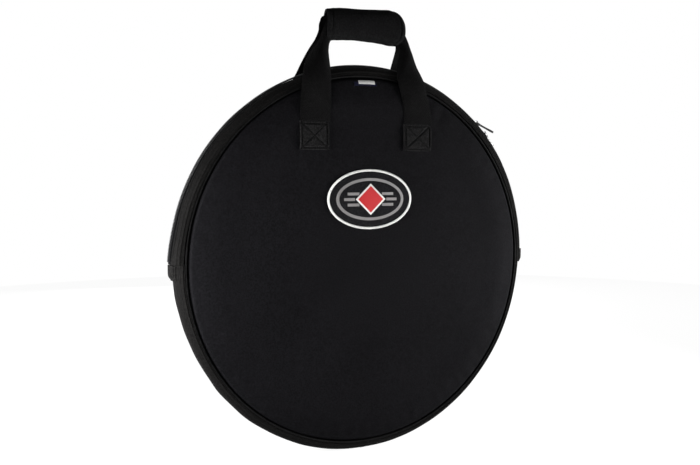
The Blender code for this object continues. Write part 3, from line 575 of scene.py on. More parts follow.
# The two zip bands: the same nylon over the upper half, folded under along the zip.
# Of the front one, the inside and the stitching ride with the lid; the band itself stays in place.
zip_rim = 0.307
band_edge = 0.0075
band_sink = 0.0005
band_lining_outer = 0.0017
band_lining_inner = 0.0024
zip_sides = ((1, "rear", "case"), (-1, "front", "lid"))


def upper_arc(section, segments=144):
    """Turns a section through the upper half, down to the fold on each side."""
    fold = math.asin((fold_height - disc.z + 0.0002) / zip_rim)
    return turned(section, segments, start=fold, sweep=math.pi - 2 * fold)


def band(side):
    """From the piping over the shoulder to a rolled hem beside the zip."""
    hem_y = band_edge + cloth_thick
    outer = [(r, y) for r, y in round_profile(zip_rim, 0, -88, -1, 70) if r > band_start and -y > hem_y]
    hem = []
    for i in range(9):
        turn = math.radians(90 - 180 * i / 8)
        hem.append((shoulder(zip_rim, hem_y) - cloth_thick + cloth_thick * math.sin(turn),
                    -hem_y + cloth_thick * math.cos(turn)))
    under = [(r, y) for r, y in round_profile(zip_rim, cloth_thick, -80, -1, 30)
             if r > band_start + cloth_thick and -y > hem_y + 0.001]
    section = [(band_start, -seam_inner)] + outer + hem + under[::-1]
    section.append((band_start + cloth_thick, -seam_inner))
    bm = upper_arc([(r, -side * y) for r, y in section])
    bend_rim(bm, zip_shape)
    sink_lines(bm, 5.0 * side, [(outer_line, 0.0008, 0.0018), (inner_line, 0.0008, 0.0018),
                                (crease_line, 0.0007, 0.0016)])
    map_rim(bm)
    return bm


piece("rear_band", band(1), rim_nylon, "case", ["rear_band_shell"])
front_band = piece("front_band", band(-1), rim_nylon, None, ["front_band_shell"])
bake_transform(front_band)

for side, name, body in zip_sides:
    near = [(r, side * y) for r, y in round_profile(zip_rim, band_lining_outer, 20, 72, 14)]
    deep = [(r, side * y) for r, y in round_profile(zip_rim, band_lining_inner, 20, 72, 14)]
    bm = upper_arc(near + deep[::-1], 96)
    bend_rim(bm, zip_shape)
    piece(f"{name}_band_inside", bm, fleece, body, [f"{name}_band_lining"])
    bm = bmesh.new()
    for y, width in ((outer_line, outer_width), (inner_line, inner_width), (crease_line, crease_width)):
        sew(bm, rim_path(zip_rim - band_sink, side * y, zip_shape, 4, 176), stitch_pitch, width)
    piece(f"{name}_band_stitching", bm, thread_black, body)

# The zip: two herringbone tapes with a nylon coil sewn along each, meshed in the
# middle. Every tooth is a bent loop of monofilament.
tape_top = 0.3055
tape_thick = 0.0008
tooth_pitch = 0.0019
tooth_wire = 0.00062
tooth_bend = 0.0021
tooth_middle = 0.0018
tooth_level = 0.3072
coil_end = 0.012
coil_radius = 0.3088
tape_weave = woven("zip_tape_weave", (0.0045, 0.0045, 0.0048), 0.0007, 0.6, 0.75, uv=True)
coil_nylon, tree, skin = new_finish("coil_nylon")
grain = add_node(tree, "TexNoise", {"Vector": add_node(tree, "TexCoord")["Object"], "Scale": 900})
dull = add_node(tree, "MapRange", {"Value": grain["Fac"], "To Min": 0.3, "To Max": 0.5})
tree.links.new(dull[0], skin.inputs["Roughness"])
skin.inputs["Base Color"].default_value = (0.007, 0.007, 0.0075, 1)
skin.inputs["Specular IOR Level"].default_value = 0.10


def tooth(side):
    """One loop of the coil at the top of the rim, arched across from tape to middle."""
    bm = bmesh.new()
    ring = bmesh.ops.create_circle(bm, segments=6, radius=tooth_wire)["verts"]
    bmesh.ops.scale(bm, vec=(1.15, 1, 1), verts=ring)
    bmesh.ops.translate(bm, vec=(0, side * tooth_bend, 0), verts=ring)
    bmesh.ops.spin(bm, geom=bm.verts[:] + bm.edges[:], cent=(0, 0, 0), axis=(-side, 0, 0), dvec=(0, 0, 0),
                   angle=-math.pi, steps=6)
    bmesh.ops.translate(bm, vec=(0, side * tooth_middle, tooth_level), verts=bm.verts)
    bmesh.ops.recalc_face_normals(bm, faces=bm.faces)
    return as_mesh("tooth", bm)


def coil(side):
    """Teeth along the whole zip. Those of the two sides stand in each other's gaps."""
    pattern = tooth(side)
    bm = bmesh.new()
    step = tooth_pitch / coil_radius
    first = math.asin(coil_end / coil_radius)
    for i in range(int((math.pi - 2 * first) / step)):
        angle = first + step * (i + (0.5 if side > 0 else 0))
        lift = Matrix.Translation((0, 0, eased(zip_shape, math.degrees(angle))))
        lay_copy(bm, pattern, Matrix.Rotation(math.pi / 2 - angle, 4, "Y") @ lift)
    bpy.data.meshes.remove(pattern)
    return bm


for side, name, body in zip_sides:
    flat = [(tape_top, side * 0.0004), (tape_top, side * 0.0045), (tape_top - 0.0002, side * 0.0075),
            (tape_top - 0.0012, side * 0.0100), (tape_top - 0.0028, side * 0.0125)]
    bm = upper_arc(flat + [(r - tape_thick, y) for r, y in flat[::-1]])
    bend_rim(bm, zip_shape)
    map_rim(bm)
    piece(f"{name}_zip_tape_woven", bm, tape_weave, body, [f"{name}_zip_tape"])
    piece(f"{name}_zip_teeth", coil(side), coil_nylon, body, [f"{name}_zip_coil"])
    bm = bmesh.new()
    sew(bm, rim_path(tape_top + 0.0012, side * 0.0043, zip_shape, 4, 176), 0.0022, 0.0005)
    piece(f"{name}_coil_stitching", bm, thread_black, body)

# The piping: smooth cloth round a cord, sewn into the seam between panel and rim, with
# a bound seam allowance on the inside.
cord_radius = 0.0019
cord_middle = (0.2911, 0.0167)
piping_cloth = woven("piping_cloth", (0.0062, 0.0061, 0.0062), 0.0006, 0.35, 0.48, uv=True, gloss=0.02)


def piping(side):
    """A round cord in a folded strip, whose flat edge runs down into the seam."""
    section = [(0.2915, side * 0.0102), (0.2905, side * 0.0102)]
    for i in range(15):
        turn = math.pi + 0.21 + (2 * math.pi - 0.42) * i / 14
        section.append((cord_middle[0] + cord_radius * math.sin(turn),
                        side * (cord_middle[1] + cord_radius * math.cos(turn))))
    bm = turned(section, 288)
    for vert in bm.verts:
        angle = polar(vert.co)[1]
        if abs(vert.co.y) > seam_outer:
            waver = noise.noise(Vector((40 * math.cos(angle), 40 * math.sin(angle), side)))
            vert.co.y += side * 0.0004 * waver
    map_rim(bm)
    return bm


def seam_binding(side):
    """Tape folded round the raw edge of the seam, inside the case."""
    top = 0.0097
    section = [(0.2835, 0.0126), (0.2845, 0.0126), (0.2845, top), (0.2931, top), (0.2931, 0.0126),
               (0.2941, 0.0126), (0.2941, 0.0087), (0.2935, 0.0083), (0.2841, 0.0083), (0.2835, 0.0087)]
    return turned([(r, side * y) for r, y in section], 144)


piece("back_piping_cord", piping(1), piping_cloth, "case", ["back_piping"])
front_piping = piece("front_piping_cord", piping(-1), piping_cloth, None,
                     ["front_piping_upper", "front_piping_lower"])
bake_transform(front_piping)
piece("back_seam_binding", seam_binding(1), tape_weave, "case", ["back_binding"])
front_bound = piece("front_seam_binding", seam_binding(-1), tape_weave, None,
                    ["front_binding_upper", "front_binding_lower"])
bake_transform(front_bound)

# The zip's end tabs: folded webbing sewn over the end of the tapes on each side of
# the case, standing well proud of the gusset.
tab_webbing = woven("tab_webbing", (0.0070, 0.0068, 0.0066), 0.0014, 0.8, 0.6, uv=True)
tab_rise = 0.0068
tab_top = 0.0096
tab_half = 0.0122
tab_reach = 0.0115
tab_seam = 0.0095
tab_gap = 0.0002


def tab_bulge(y):
    """How far the tab stands off the rim at one place across it."""
    return tab_rise * (1 - (abs(y) / tab_half) ** 6)


def end_tab(hand):
    """A doubled strip over the zip's end, thick at the top and rounded below."""
    across = [-tab_reach + 2 * tab_reach * i / 16 for i in range(17)]
    under = [(shoulder(rim_radius + tab_gap, y), y) for y in across]
    outer = [(r + tab_bulge(y), y) for r, y in under]
    start = math.pi - 0.0325 if hand < 0 else -0.0425
    bm = turned(outer + under[::-1], 18, start=start, sweep=0.075)
    for vert in bm.verts:
        radius = polar(vert.co)[0]
        above = radius - shoulder(rim_radius + tab_gap, vert.co.y)
        near = held((vert.co.z + 0.0130) / 0.0105, 0.12)
        factor = 1 - above * (1 - math.sqrt(1 - (1 - near) ** 2)) / radius
        vert.co.x *= factor
        vert.co.z = min(vert.co.z * factor, tab_top)
    map_rim(bm)
    return bm


for hand, name in ((-1, "left"), (1, "right")):
    piece(f"{name}_end_tab", end_tab(hand), tab_webbing, "case", [f"zip_end_tab_{name}"])
    bm = bmesh.new()
    for z in (-0.0065, 0.0055):
        path = []
        for y in [-tab_seam + 2 * tab_seam * i / 8 for i in range(9)]:
            reach = shoulder(rim_radius, y) + tab_bulge(y) - 0.0001
            path.append((Vector((hand * reach, y, z)), Vector((hand, 0, 0))))
        sew(bm, path, 0.0028, 0.0007)
    piece(f"{name}_end_tab_stitching", bm, thread_black, "case")

# The two sliders: plated die-cast bodies that straddle the coil, each with an arched
# bail and a slim black pull. They stand nose to nose near the top right of the zip.
slider_length = 0.0212
plate_top = 0.3107
plate_thick = 0.0019
arch_height = 0.3142
arch_inner = 0.0028
arch_thick = 0.0014
arch_half = 0.0014
pull_length = 0.035
pull_under = 0.0013
pull_thick = 0.0025
hood_nose = 0.0064
hood_tail = 0.0056
sole_nose = 0.0060
sole_tail = 0.0050
sole_low = 0.3022
sole_thick = 0.0015
wall_radius = 0.3076
wall_size = (slider_length * 0.93, 0.0014, 0.0034)
post_size = (0.0062, 0.0011, 0.0062)
post_level = 0.3060
pull_skew = math.radians(18)
slider_angle = {"left": math.radians(46.234), "right": math.radians(41.966)}
plated, tree, skin = new_finish("bright_plating")
spot = add_node(tree, "TexCoord")["Object"]
grain = add_node(tree, "TexNoise", {"Vector": spot, "Scale": 260, "Detail": 4})
dull = add_node(tree, "MapRange", {"Value": grain["Fac"], "To Min": 0.10, "To Max": 0.30})
tree.links.new(dull[0], skin.inputs["Roughness"])
skin.inputs["Base Color"].default_value = (0.78, 0.78, 0.80, 1)
skin.inputs["Metallic"].default_value = 1.0
coated, tree, skin = new_finish("black_coating")
grain = add_node(tree, "TexNoise", {"Vector": add_node(tree, "TexCoord")["Object"], "Scale": 500})
raised = add_node(tree, "Bump", {"Height": grain["Fac"], "Strength": 0.15, "Distance": 0.0001})
tree.links.new(raised[0], skin.inputs["Normal"])
skin.inputs["Base Color"].default_value = (0.0035, 0.0035, 0.0037, 1)
skin.inputs["Roughness"].default_value = 0.35


def raise_faces(bm, move):
    """Gives flat faces a thickness: the old ones stay below, and the new ones are moved."""
    raised = bmesh.ops.extrude_face_region(bm, geom=bm.faces[:], use_keep_orig=True)
    top = [v for v in raised["geom"] if isinstance(v, bmesh.types.BMVert)]
    bmesh.ops.translate(bm, vec=move, verts=top)
    bmesh.ops.recalc_face_normals(bm, faces=bm.faces)
    return top


def join(bm, part):
    """Adds one bmesh to another, with its faces pointing out."""
    bmesh.ops.recalc_face_normals(part, faces=part.faces)
    mesh = as_mesh("joined", part)
    bm.from_mesh(mesh)
    bpy.data.meshes.remove(mesh)


def to_rim(bm, angle):
    """Turns a piece drawn at the top of the rim round to its place."""
    turn = Matrix.Rotation(math.pi / 2 - angle, 3, "Y")
    bmesh.ops.rotate(bm, verts=bm.verts, cent=(0, 0, 0), matrix=turn)


def plate(nose_width, tail_width, radius, thickness, nose):
    """A slider's plate: an outline that tapers from nose to tail, bent to the rim."""
    bm = bmesh.new()
    outline = []
    count = 10
    for i in range(count + 1):
        part = i / count
        half = nose_width + (tail_width - nose_width) * part
        rounding = math.sqrt(1 - min(abs(2 * part - 1), 0.98) ** 9)
        outline.append((nose * slider_length * (0.5 - part), half * rounding))
    outline += [(x, -y) for x, y in outline[::-1]]
    verts = [bm.verts.new((x, y, 0)) for x, y in outline]
    bmesh.ops.triangulate(bm, faces=[bm.faces.new(verts)])
    raise_faces(bm, (0, 0, thickness))
    round_edges(bm, thickness * 0.32, 3)
    for vert in bm.verts:
        vert.co.z += math.sqrt(radius * radius - vert.co.x ** 2)
    return bm


def block(size, middle, bevelled, cuts=0):
    """A small cast block with broken edges, cut across its length where it has to bend."""
    bm = bmesh.new()
    bmesh.ops.create_cube(bm, size=1)
    bmesh.ops.scale(bm, vec=size, verts=bm.verts)
    if cuts:
        long_edges = [e for e in bm.edges if abs((e.verts[0].co - e.verts[1].co).x) > size[0] / 2]
        bmesh.ops.subdivide_edges(bm, edges=long_edges, cuts=cuts, use_grid_fill=True)
    round_edges(bm, bevelled, 2, 0.5)
    bmesh.ops.translate(bm, vec=middle, verts=bm.verts)
    return bm


def slider(name, nose):
    """Hood and sole joined by the post, with rolled side walls and the bail on top."""
    bm = plate(hood_nose, hood_tail, plate_top - plate_thick, plate_thick, nose)
    join(bm, plate(sole_nose, sole_tail, sole_low, sole_thick, nose))
    for side in (-1, 1):
        wall = block(wall_size, (0, 0, 0), 0.0004, 6)
        for vert in wall.verts:
            tail = 0.5 - nose * vert.co.x / slider_length
            vert.co.y += side * (0.0055 - 0.0008 * tail)
            vert.co.z += math.sqrt(wall_radius ** 2 - vert.co.x ** 2)
        join(bm, wall)
    join(bm, block(post_size, (nose * 0.0064, 0, post_level), 0.0002))
    arch = bmesh.new()
    ring = bmesh.ops.create_circle(arch, segments=12, radius=1)["verts"]
    bmesh.ops.scale(arch, vec=(arch_thick / 2, arch_half, 1), verts=ring)
    bmesh.ops.translate(arch, vec=(arch_inner + arch_thick / 2, 0, 0), verts=ring)
    foot = arch.edges[:]
    turn = bmesh.ops.spin(arch, geom=ring + foot, cent=(0, 0, 0), axis=(0, -1, 0), dvec=(0, 0, 0),
                          angle=math.pi, steps=18)
    last = [edge for edge in turn["geom_last"] if isinstance(edge, bmesh.types.BMEdge)]
    for loop in (foot, last):
        leg = bmesh.ops.extrude_edge_only(arch, edges=loop)["geom"]
        low = [v for v in leg if isinstance(v, bmesh.types.BMVert)]
        bmesh.ops.translate(arch, vec=(0, 0, plate_top - arch_height - 0.0008), verts=low)
        bmesh.ops.edgeloop_fill(arch, edges=[e for e in leg if isinstance(e, bmesh.types.BMEdge)])
    bmesh.ops.translate(arch, vec=(0, 0, arch_height), verts=arch.verts)
    join(bm, arch)
    to_rim(bm, slider_angle[name])
    return bm


def pull(name, tilt, skew):
    """A flat tab with an eye round the bail, a waisted neck and a rounded tail."""
    eye = arch_half + 0.0005
    outline = [(-0.0007, eye + 0.0014), (0.0066, eye + 0.0014), (0.0082, 0.0021), (0.0110, 0.0015),
               (0.0200, 0.0016), (0.0245, 0.0021), (0.0300, 0.0024), (0.0330, 0.0022), (0.0345, 0.0014),
               (pull_length, 0.0004)]
    hole = [(0.0007, eye), (0.0050, eye), (0.0052, 0.0008), (0.0052, -0.0008), (0.0050, -eye),
            (0.0007, -eye)]
    bm = bmesh.new()
    edges = []
    for line in (outline + [(x, -y) for x, y in outline[::-1]], hole):
        verts = [bm.verts.new((x, y, -pull_under)) for x, y in line]
        edges += [bm.edges.new((verts[i - 1], verts[i])) for i in range(len(verts))]
    bmesh.ops.triangle_fill(bm, edges=edges, use_beauty=True)
    raise_faces(bm, (0, 0, pull_thick))
    round_edges(bm, 0.0003)
    on_arch = (arch_inner + arch_thick / 2, 0, 0)
    bmesh.ops.rotate(bm, verts=bm.verts, cent=on_arch, matrix=Matrix.Rotation(skew, 3, "Z"))
    bmesh.ops.rotate(bm, verts=bm.verts, cent=(0, 0, 0), matrix=Matrix.Rotation(-tilt, 3, "Y"))
    bmesh.ops.translate(bm, vec=(0, 0, arch_height), verts=bm.verts)
    to_rim(bm, slider_angle[name])
    return bm


for name, nose, tilt, skew in (("left", 1, math.radians(14.5), -pull_skew),
                               ("right", -1, math.radians(8), pull_skew)):
    piece(f"{name}_slider", slider(name, nose), plated, f"slider_{name}", [f"slider_{name}_body"])
    piece(f"{name}_pull", pull(name, tilt, skew), coated, f"pull_{name}", [f"pull_{name}"])

# The two handles: 50 mm ribbed webbing, each one length that is sewn to its panel at
# both ends in a folded square with a crossed box, and curls lengthwise up to the grip.
strap_half = 0.025
strap_thick = 0.0016
sewn_top = 0.2195
sewn_low = 0.1765
web_gap = 0.0003
box_share = 0.84
web = woven("handle_webbing", (0.0042, 0.0041, 0.0042), 0.0021, 0.8, 0.55, uv=True)
# The sewn ends are the handle's own webbing painted more than twice as light: painted light on their flat
# faces.
sewn_end_lit_web = woven("folded_webbing_painted_light", (0.0102, 0.0100, 0.0102), 0.0021, 0.8, 0.6, uv=True, fleck=0.5)
# Each row holds the outer and inner edge of a leg as x and z, and how far it bows out.
front_left = [(-0.1163, 0.2190, -0.0689, 0.2190, 0.0004), (-0.1160, 0.2336, -0.0674, 0.2336, 0.0014),
              (-0.1154, 0.2482, -0.0660, 0.2482, 0.0026), (-0.1143, 0.2640, -0.0658, 0.2640, 0.0040),
              (-0.1129, 0.2800, -0.0654, 0.2800, 0.0054), (-0.1094, 0.2940, -0.0643, 0.2940, 0.0066),
              (-0.1030, 0.3080, -0.0628, 0.3080, 0.0074), (-0.0936, 0.3210, -0.0610, 0.3200, 0.0074),
              (-0.0826, 0.3335, -0.0588, 0.3320, 0.0066), (-0.0742, 0.3450, -0.0558, 0.3420, 0.0052),
              (-0.0690, 0.3580, -0.0528, 0.3470, 0.0040), (-0.0620, 0.3710, -0.0470, 0.3495, 0.0034),
              (-0.0500, 0.3830, -0.0380, 0.3505, 0.0034)]
front_right = [(0.1115, 0.2190, 0.0612, 0.2190, 0.0004), (0.1105, 0.2336, 0.0609, 0.2336, 0.0012),
               (0.1080, 0.2480, 0.0596, 0.2480, 0.0020), (0.1034, 0.2640, 0.0561, 0.2640, 0.0028),
               (0.0994, 0.2800, 0.0516, 0.2800, 0.0038), (0.0956, 0.2940, 0.0503, 0.2940, 0.0048),
               (0.0922, 0.3080, 0.0530, 0.3080, 0.0058), (0.0906, 0.3210, 0.0588, 0.3200, 0.0062),
               (0.0884, 0.3335, 0.0650, 0.3310, 0.0058), (0.0841, 0.3460, 0.0675, 0.3410, 0.0048),
               (0.0785, 0.3580, 0.0640, 0.3470, 0.0038), (0.0700, 0.3710, 0.0540, 0.3495, 0.0034),
               (0.0560, 0.3830, 0.0400, 0.3505, 0.0034)]
back_left = [(-0.1155, 0.2190, -0.0655, 0.2190, 0.0004), (-0.1150, 0.2400, -0.0660, 0.2400, 0.0010),
             (-0.1130, 0.2600, -0.0670, 0.2600, 0.0020), (-0.1085, 0.2800, -0.0665, 0.2800, 0.0034),
             (-0.1024, 0.2950, -0.0645, 0.2950, 0.0046), (-0.0982, 0.3080, -0.0622, 0.3080, 0.0056),
             (-0.0932, 0.3210, -0.0600, 0.3210, 0.0060), (-0.0870, 0.3330, -0.0575, 0.3325, 0.0060),
             (-0.0790, 0.3455, -0.0545, 0.3410, 0.0052), (-0.0737, 0.3580, -0.0510, 0.3465, 0.0044),
             (-0.0718, 0.3710, -0.0460, 0.3490, 0.0036), (-0.0600, 0.3825, -0.0380, 0.3505, 0.0034)]
back_right = [(0.1155, 0.2190, 0.0655, 0.2190, 0.0004), (0.1120, 0.2400, 0.0630, 0.2400, 0.0010),
              (0.1080, 0.2600, 0.0605, 0.2600, 0.0020), (0.1035, 0.2800, 0.0594, 0.2800, 0.0030),
              (0.1000, 0.2960, 0.0592, 0.2960, 0.0040), (0.0960, 0.3120, 0.0592, 0.3120, 0.0050),
              (0.0905, 0.3290, 0.0596, 0.3260, 0.0056), (0.0840, 0.3450, 0.0610, 0.3390, 0.0052),
              (0.0770, 0.3590, 0.0590, 0.3465, 0.0044), (0.0690, 0.3720, 0.0500, 0.3495, 0.0036),
              (0.0560, 0.3832, 0.0400, 0.3505, 0.0034)]


def smooth(part):
    """A soft step from 0 to 1."""
    part = held(part)
    return part * part * (3 - 2 * part)


def between(rows, part):
    """One row of the table at a share of its length, on a smooth curve through all rows."""
    place = part * (len(rows) - 1)
    i = min(int(place), len(rows) - 2)
    t = place - i
    a, b, c, d = (rows[min(max(i + k, 0), len(rows) - 1)] for k in (-1, 0, 1, 2))
    return [q + t * (r - p) / 2 + t * t * (p - 2.5 * q + 2 * r - s / 2)
            + t ** 3 * (1.5 * (q - r) + (s - p) / 2) for p, q, r, s in zip(a, b, c, d)]


def strap_depth(z, radius):
    """Distance of the strap's middle from the middle plane of the case."""
    on_panel = panel_face(min(radius, 0.26)) + web_gap + 1.5 * strap_thick
    off_panel = 0.0275 + (0.0019 - 0.0275) * smooth((z - 0.275) / 0.070)
    return on_panel + (off_panel - on_panel) * smooth((z - 0.219) / 0.025)


def laid_grid(steps, across):
    """A flat sheet of quads with a map, from -0.5 to 0.5 both ways, to be laid in place."""
    bm = bmesh.new()
    bm.loops.layers.uv.new("UVMap")
    bmesh.ops.create_grid(bm, x_segments=steps, y_segments=across, size=0.5)
    return bm


def lay_map(bm, place):
    """Gives each corner of the sheet its place on the map, by a function of its spot."""
    layer = bm.loops.layers.uv.verify()
    for face in bm.faces:
        for loop in face.loops:
            loop[layer].uv = place(loop.vert.co)


def thicken(bm, outward, thickness, edge=0.0):
    """Turns the sheet to face one way, gives it its thickness and rounds its cut edges."""
    bm.normal_update()
    if sum(face.normal.dot(outward(face.calc_center_median())) for face in bm.faces) < 0:
        bmesh.ops.reverse_faces(bm, faces=bm.faces)
    bmesh.ops.solidify(bm, geom=bm.faces[:], thickness=thickness)
    if edge:
        round_edges(bm, edge, 3, 1.0)


def strap(side, left, right):
    """One length of webbing from foot to foot, through the grip."""
    rows = left + [(0, 0.3865, 0, 0.3505, 0.0034)] + right[::-1]
    steps = 108
    line = [between(rows, i / steps) for i in range(steps + 1)]
    run = [0.0]
    for (ox, oz, ix, iz, _), (px, pz, qx, qz, _) in zip(line, line[1:]):
        run.append(run[-1] + math.hypot(px + qx - ox - ix, pz + qz - oz - iz) / 2)
    bm = laid_grid(steps, 16)
    lay_map(bm, lambda spot: (run[round((spot.x + 0.5) * steps)], 2 * spot.y * strap_half))
    for vert in bm.verts:
        ox, oz, ix, iz, bow = line[round((vert.co.x + 0.5) * steps)]
        share = vert.co.y + 0.5
        x = ox + (ix - ox) * share
        z = oz + (iz - oz) * share
        fold = 0.0008 * math.sin(z * 95 + 4 * share) * smooth((z - 0.23) / 0.04) * (0.3 if z > 0.33 else 1)
        depth = strap_depth(z, math.hypot(x, z)) + bow * (1 - abs(2 * share - 1) ** 2.4) + fold
        vert.co = Vector((x, side * depth, z))
    thicken(bm, lambda spot: Vector((0, side, 0)), strap_thick, 0.0004)
    return bm


def quilted(x, z, middle, half):
    """How far the stitches pull the sewn end down, from 0 to 1."""
    along = (x - middle) / half
    up = (z - (sewn_low + sewn_top) / 2) / (sewn_top - sewn_low) * 2
    pulled = math.exp(-((abs(along) - box_share) / 0.06) ** 2)
    pulled += math.exp(-((abs(up) - box_share) / 0.07) ** 2)
    pulled += math.exp(-((abs(along) - abs(up)) / 0.09) ** 2) * (max(abs(along), abs(up)) < 0.86)
    return min(pulled, 1)


def sewn_end(side, middle, half):
    """The folded end: two layers with rounded folds, pressed to the crown of the panel."""
    bm = laid_grid(64, 60)
    for vert in bm.verts:
        x = middle + 2 * half * vert.co.x
        z = sewn_low + (sewn_top - sewn_low) * (vert.co.y + 0.5)
        pucker = 0.0003 * noise.noise(Vector((x * 70, z * 70, side)))
        border = min(half - abs(x - middle), min(z - sewn_low, sewn_top - z))
        pucker -= 0.0012 * (1 - smooth(border / 0.0020))
        depth = panel_face(math.hypot(x, z)) + web_gap + 2 * strap_thick
        depth = depth - 0.0016 * quilted(x, z, middle, half) + pucker
        vert.co = Vector((x, side * depth, z))
    lay_map(bm, lambda spot: (spot.z, spot.x))
    thicken(bm, lambda spot: Vector((0, side, 0)), 2 * strap_thick)
    return bm


rise = (sewn_top - sewn_low) / 2 * box_share
level = (sewn_low + sewn_top) / 2
legs = {"front": (-1, "lid", "front_handle", front_left, front_right,
                  {"left": (-0.094, 0.024), "right": (0.085, 0.026)}),
        "back": (1, "case", "back_handle", back_left, back_right,
                 {"left": (-0.0905, 0.025), "right": (0.0905, 0.025)})}
for name, (side, body, handle, left, right, feet) in legs.items():
    made = piece(f"{name}_strap", strap(side, left, right), web, None, [f"{name}_webbing"])
    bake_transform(made)
    bm = bmesh.new()
    for mark, (middle, half) in feet.items():
        # The sewn ends take the lit copy of the webbing, which is painted light.
        piece(f"{name}_sewn_end_{mark}", sewn_end(side, middle, half), sewn_end_lit_web, body,
              [f"{name}_anchor_{mark}"])
        reach = half * box_share
        corners = [(middle - reach, level - rise), (middle + reach, level - rise),
                   (middle + reach, level + rise), (middle - reach, level + rise)]
        for first, second in ((0, 1), (1, 2), (2, 3), (3, 0), (0, 2), (1, 3)):
            path = []
            for i in range(13):
                x = corners[first][0] + (corners[second][0] - corners[first][0]) * i / 12
                z = corners[first][1] + (corners[second][1] - corners[first][1]) * i / 12
                depth = panel_face(math.hypot(x, z)) + web_gap + 2 * strap_thick - 0.0014
                path.append((Vector((x, side * depth, z)), Vector((0, side, 0))))
            sew(bm, path, 0.0031, 0.0012)
    piece(f"{name}_handle_stitching", bm, thread_black, body)

# The grip: a padded wrap of smooth nylon that closes round both handles. The flap is
# one cloth with the back, bends over the top and closes below with hook and loop tape.
grip_cloth = woven("grip_cloth", (0.0069, 0.0069, 0.0071), 0.0006, 0.4, 0.6, uv=True, gloss=0.004,
                   fuzz=0.003)
grip_length = 0.13
grip_round = 0.12
grip_deep = 0.0117
grip_trim = 0.0085
grip_reach = math.radians(172)
grip_upper = [(-0.0643, 0.3903), (-0.0582, 0.3921), (-0.0480, 0.3936), (-0.0379, 0.3945), (-0.0208, 0.3950),
              (-0.0035, 0.3953), (0.0318, 0.3972), (0.0461, 0.3979), (0.0552, 0.3968), (0.0643, 0.3950),
              (0.0740, 0.3930)]
grip_lower = [(-0.0643, 0.3422), (-0.0587, 0.3432), (-0.0452, 0.3452), (-0.0299, 0.3466), (-0.0145, 0.3472),
              (0.0012, 0.3468), (0.0170, 0.3459), (0.0330, 0.3448), (0.0510, 0.3431), (0.0740, 0.3425)]


def grip_surface(part, turn):
    """A point of the wrap's outside and its outward direction, along and round the grip."""
    rise = math.copysign(abs(math.cos(turn)) ** (0.97 if math.cos(turn) > 0 else 0.78), math.cos(turn))
    left = -0.0620 - 0.0006 * (1 - rise)
    right = 0.0735 - 0.0125 * abs(rise) ** 2.6
    x = left + (right - left) * part
    top = eased(grip_upper, x)
    low = eased(grip_lower, x)
    bound = min(part, 1 - part) * (right - left)
    tuck = 1 - 0.22 * math.exp(-(bound / 0.0035) ** 2)
    tuck -= 0.13 * math.exp(-((bound - grip_trim) / 0.0016) ** 2)
    y = math.copysign(abs(math.sin(turn)) ** (0.92 + 0.12 * rise), math.sin(turn)) * grip_deep * tuck
    z = (top + low) / 2 + rise * (top - low) / 2
    out = Vector((0, y / grip_deep ** 2, rise / 0.025)).normalized()
    return Vector((x, y, z)), out


def wrap_sheet():
    """Cloth over both sides of the pad, drawn in at the ends, with the seam below."""
    bm = laid_grid(84, 80)
    lay_map(bm, lambda spot: (spot.x * grip_length, spot.y * grip_round))
    for vert in bm.verts:
        spot, out = grip_surface(vert.co.x + 0.5, 2 * vert.co.y * grip_reach)
        wave = 0.0007 * noise.noise(Vector((spot.x * 34, spot.z * 50, spot.y * 40)))
        seam = 0.0004 * math.exp(-((spot.z - eased(grip_lower, spot.x) - 0.0050) / 0.0014) ** 2)
        vert.co = spot + out * (wave - seam)
    thicken(bm, lambda spot: Vector((0, spot.y, spot.z - 0.368)), 0.0028)
    return bm


grip_wrap = piece("grip_wrap", wrap_sheet(), grip_cloth, None,
                  ["grip_back_cover", "grip_flap_cover", "grip_back_pad", "grip_flap_pad"])
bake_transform(grip_wrap)
hook_tape = woven("hook_tape", (0.008, 0.008, 0.009), 0.0014, 1.0, 0.5, gloss=0.1)
loop_tape = woven("loop_tape", (0.015, 0.015, 0.016), 0.0008, 0.8, 0.95, fuzz=0.4)
for name, finish, body in (("grip_hook_strip", hook_tape, "grip_flap"),
                           ("grip_loop_strip", loop_tape, "back_handle")):
    bm = bmesh.new()
    bm.from_mesh(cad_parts[name].data)
    bmesh.ops.remove_doubles(bm, verts=bm.verts, dist=0.00001)
    inside = Matrix.Translation((0, 0, -disc.z - 0.371))
    bmesh.ops.scale(bm, vec=(1, 0.66, 0.74), space=inside, verts=bm.verts)
    piece(name + "_tape", bm, finish, body, [name], centred=False)

bm = bmesh.new()
for share in (grip_trim / grip_length, 1 - grip_trim / grip_length):
    for first, last in ((-150, -12), (12, 150)):
        turns = [math.radians(first + (last - first) * k / 24) for k in range(25)]
        sew(bm, [grip_surface(share, turn) for turn in turns], 0.0030, 0.0008)
grip_stitching = piece("grip_stitching", bm, thread_black, None)
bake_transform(grip_stitching)

# The badge: an oval woven patch with a merrowed white border, a dark ground, a grey
# inner field and a red lozenge between grey bars. It carries no words.
badge_middle = Vector((0, 0, 0.101))
floss_pitch = 0.00055
patch_black = woven("patch_ground", (0.010, 0.010, 0.011), 0.0005, 0.5, 0.7)


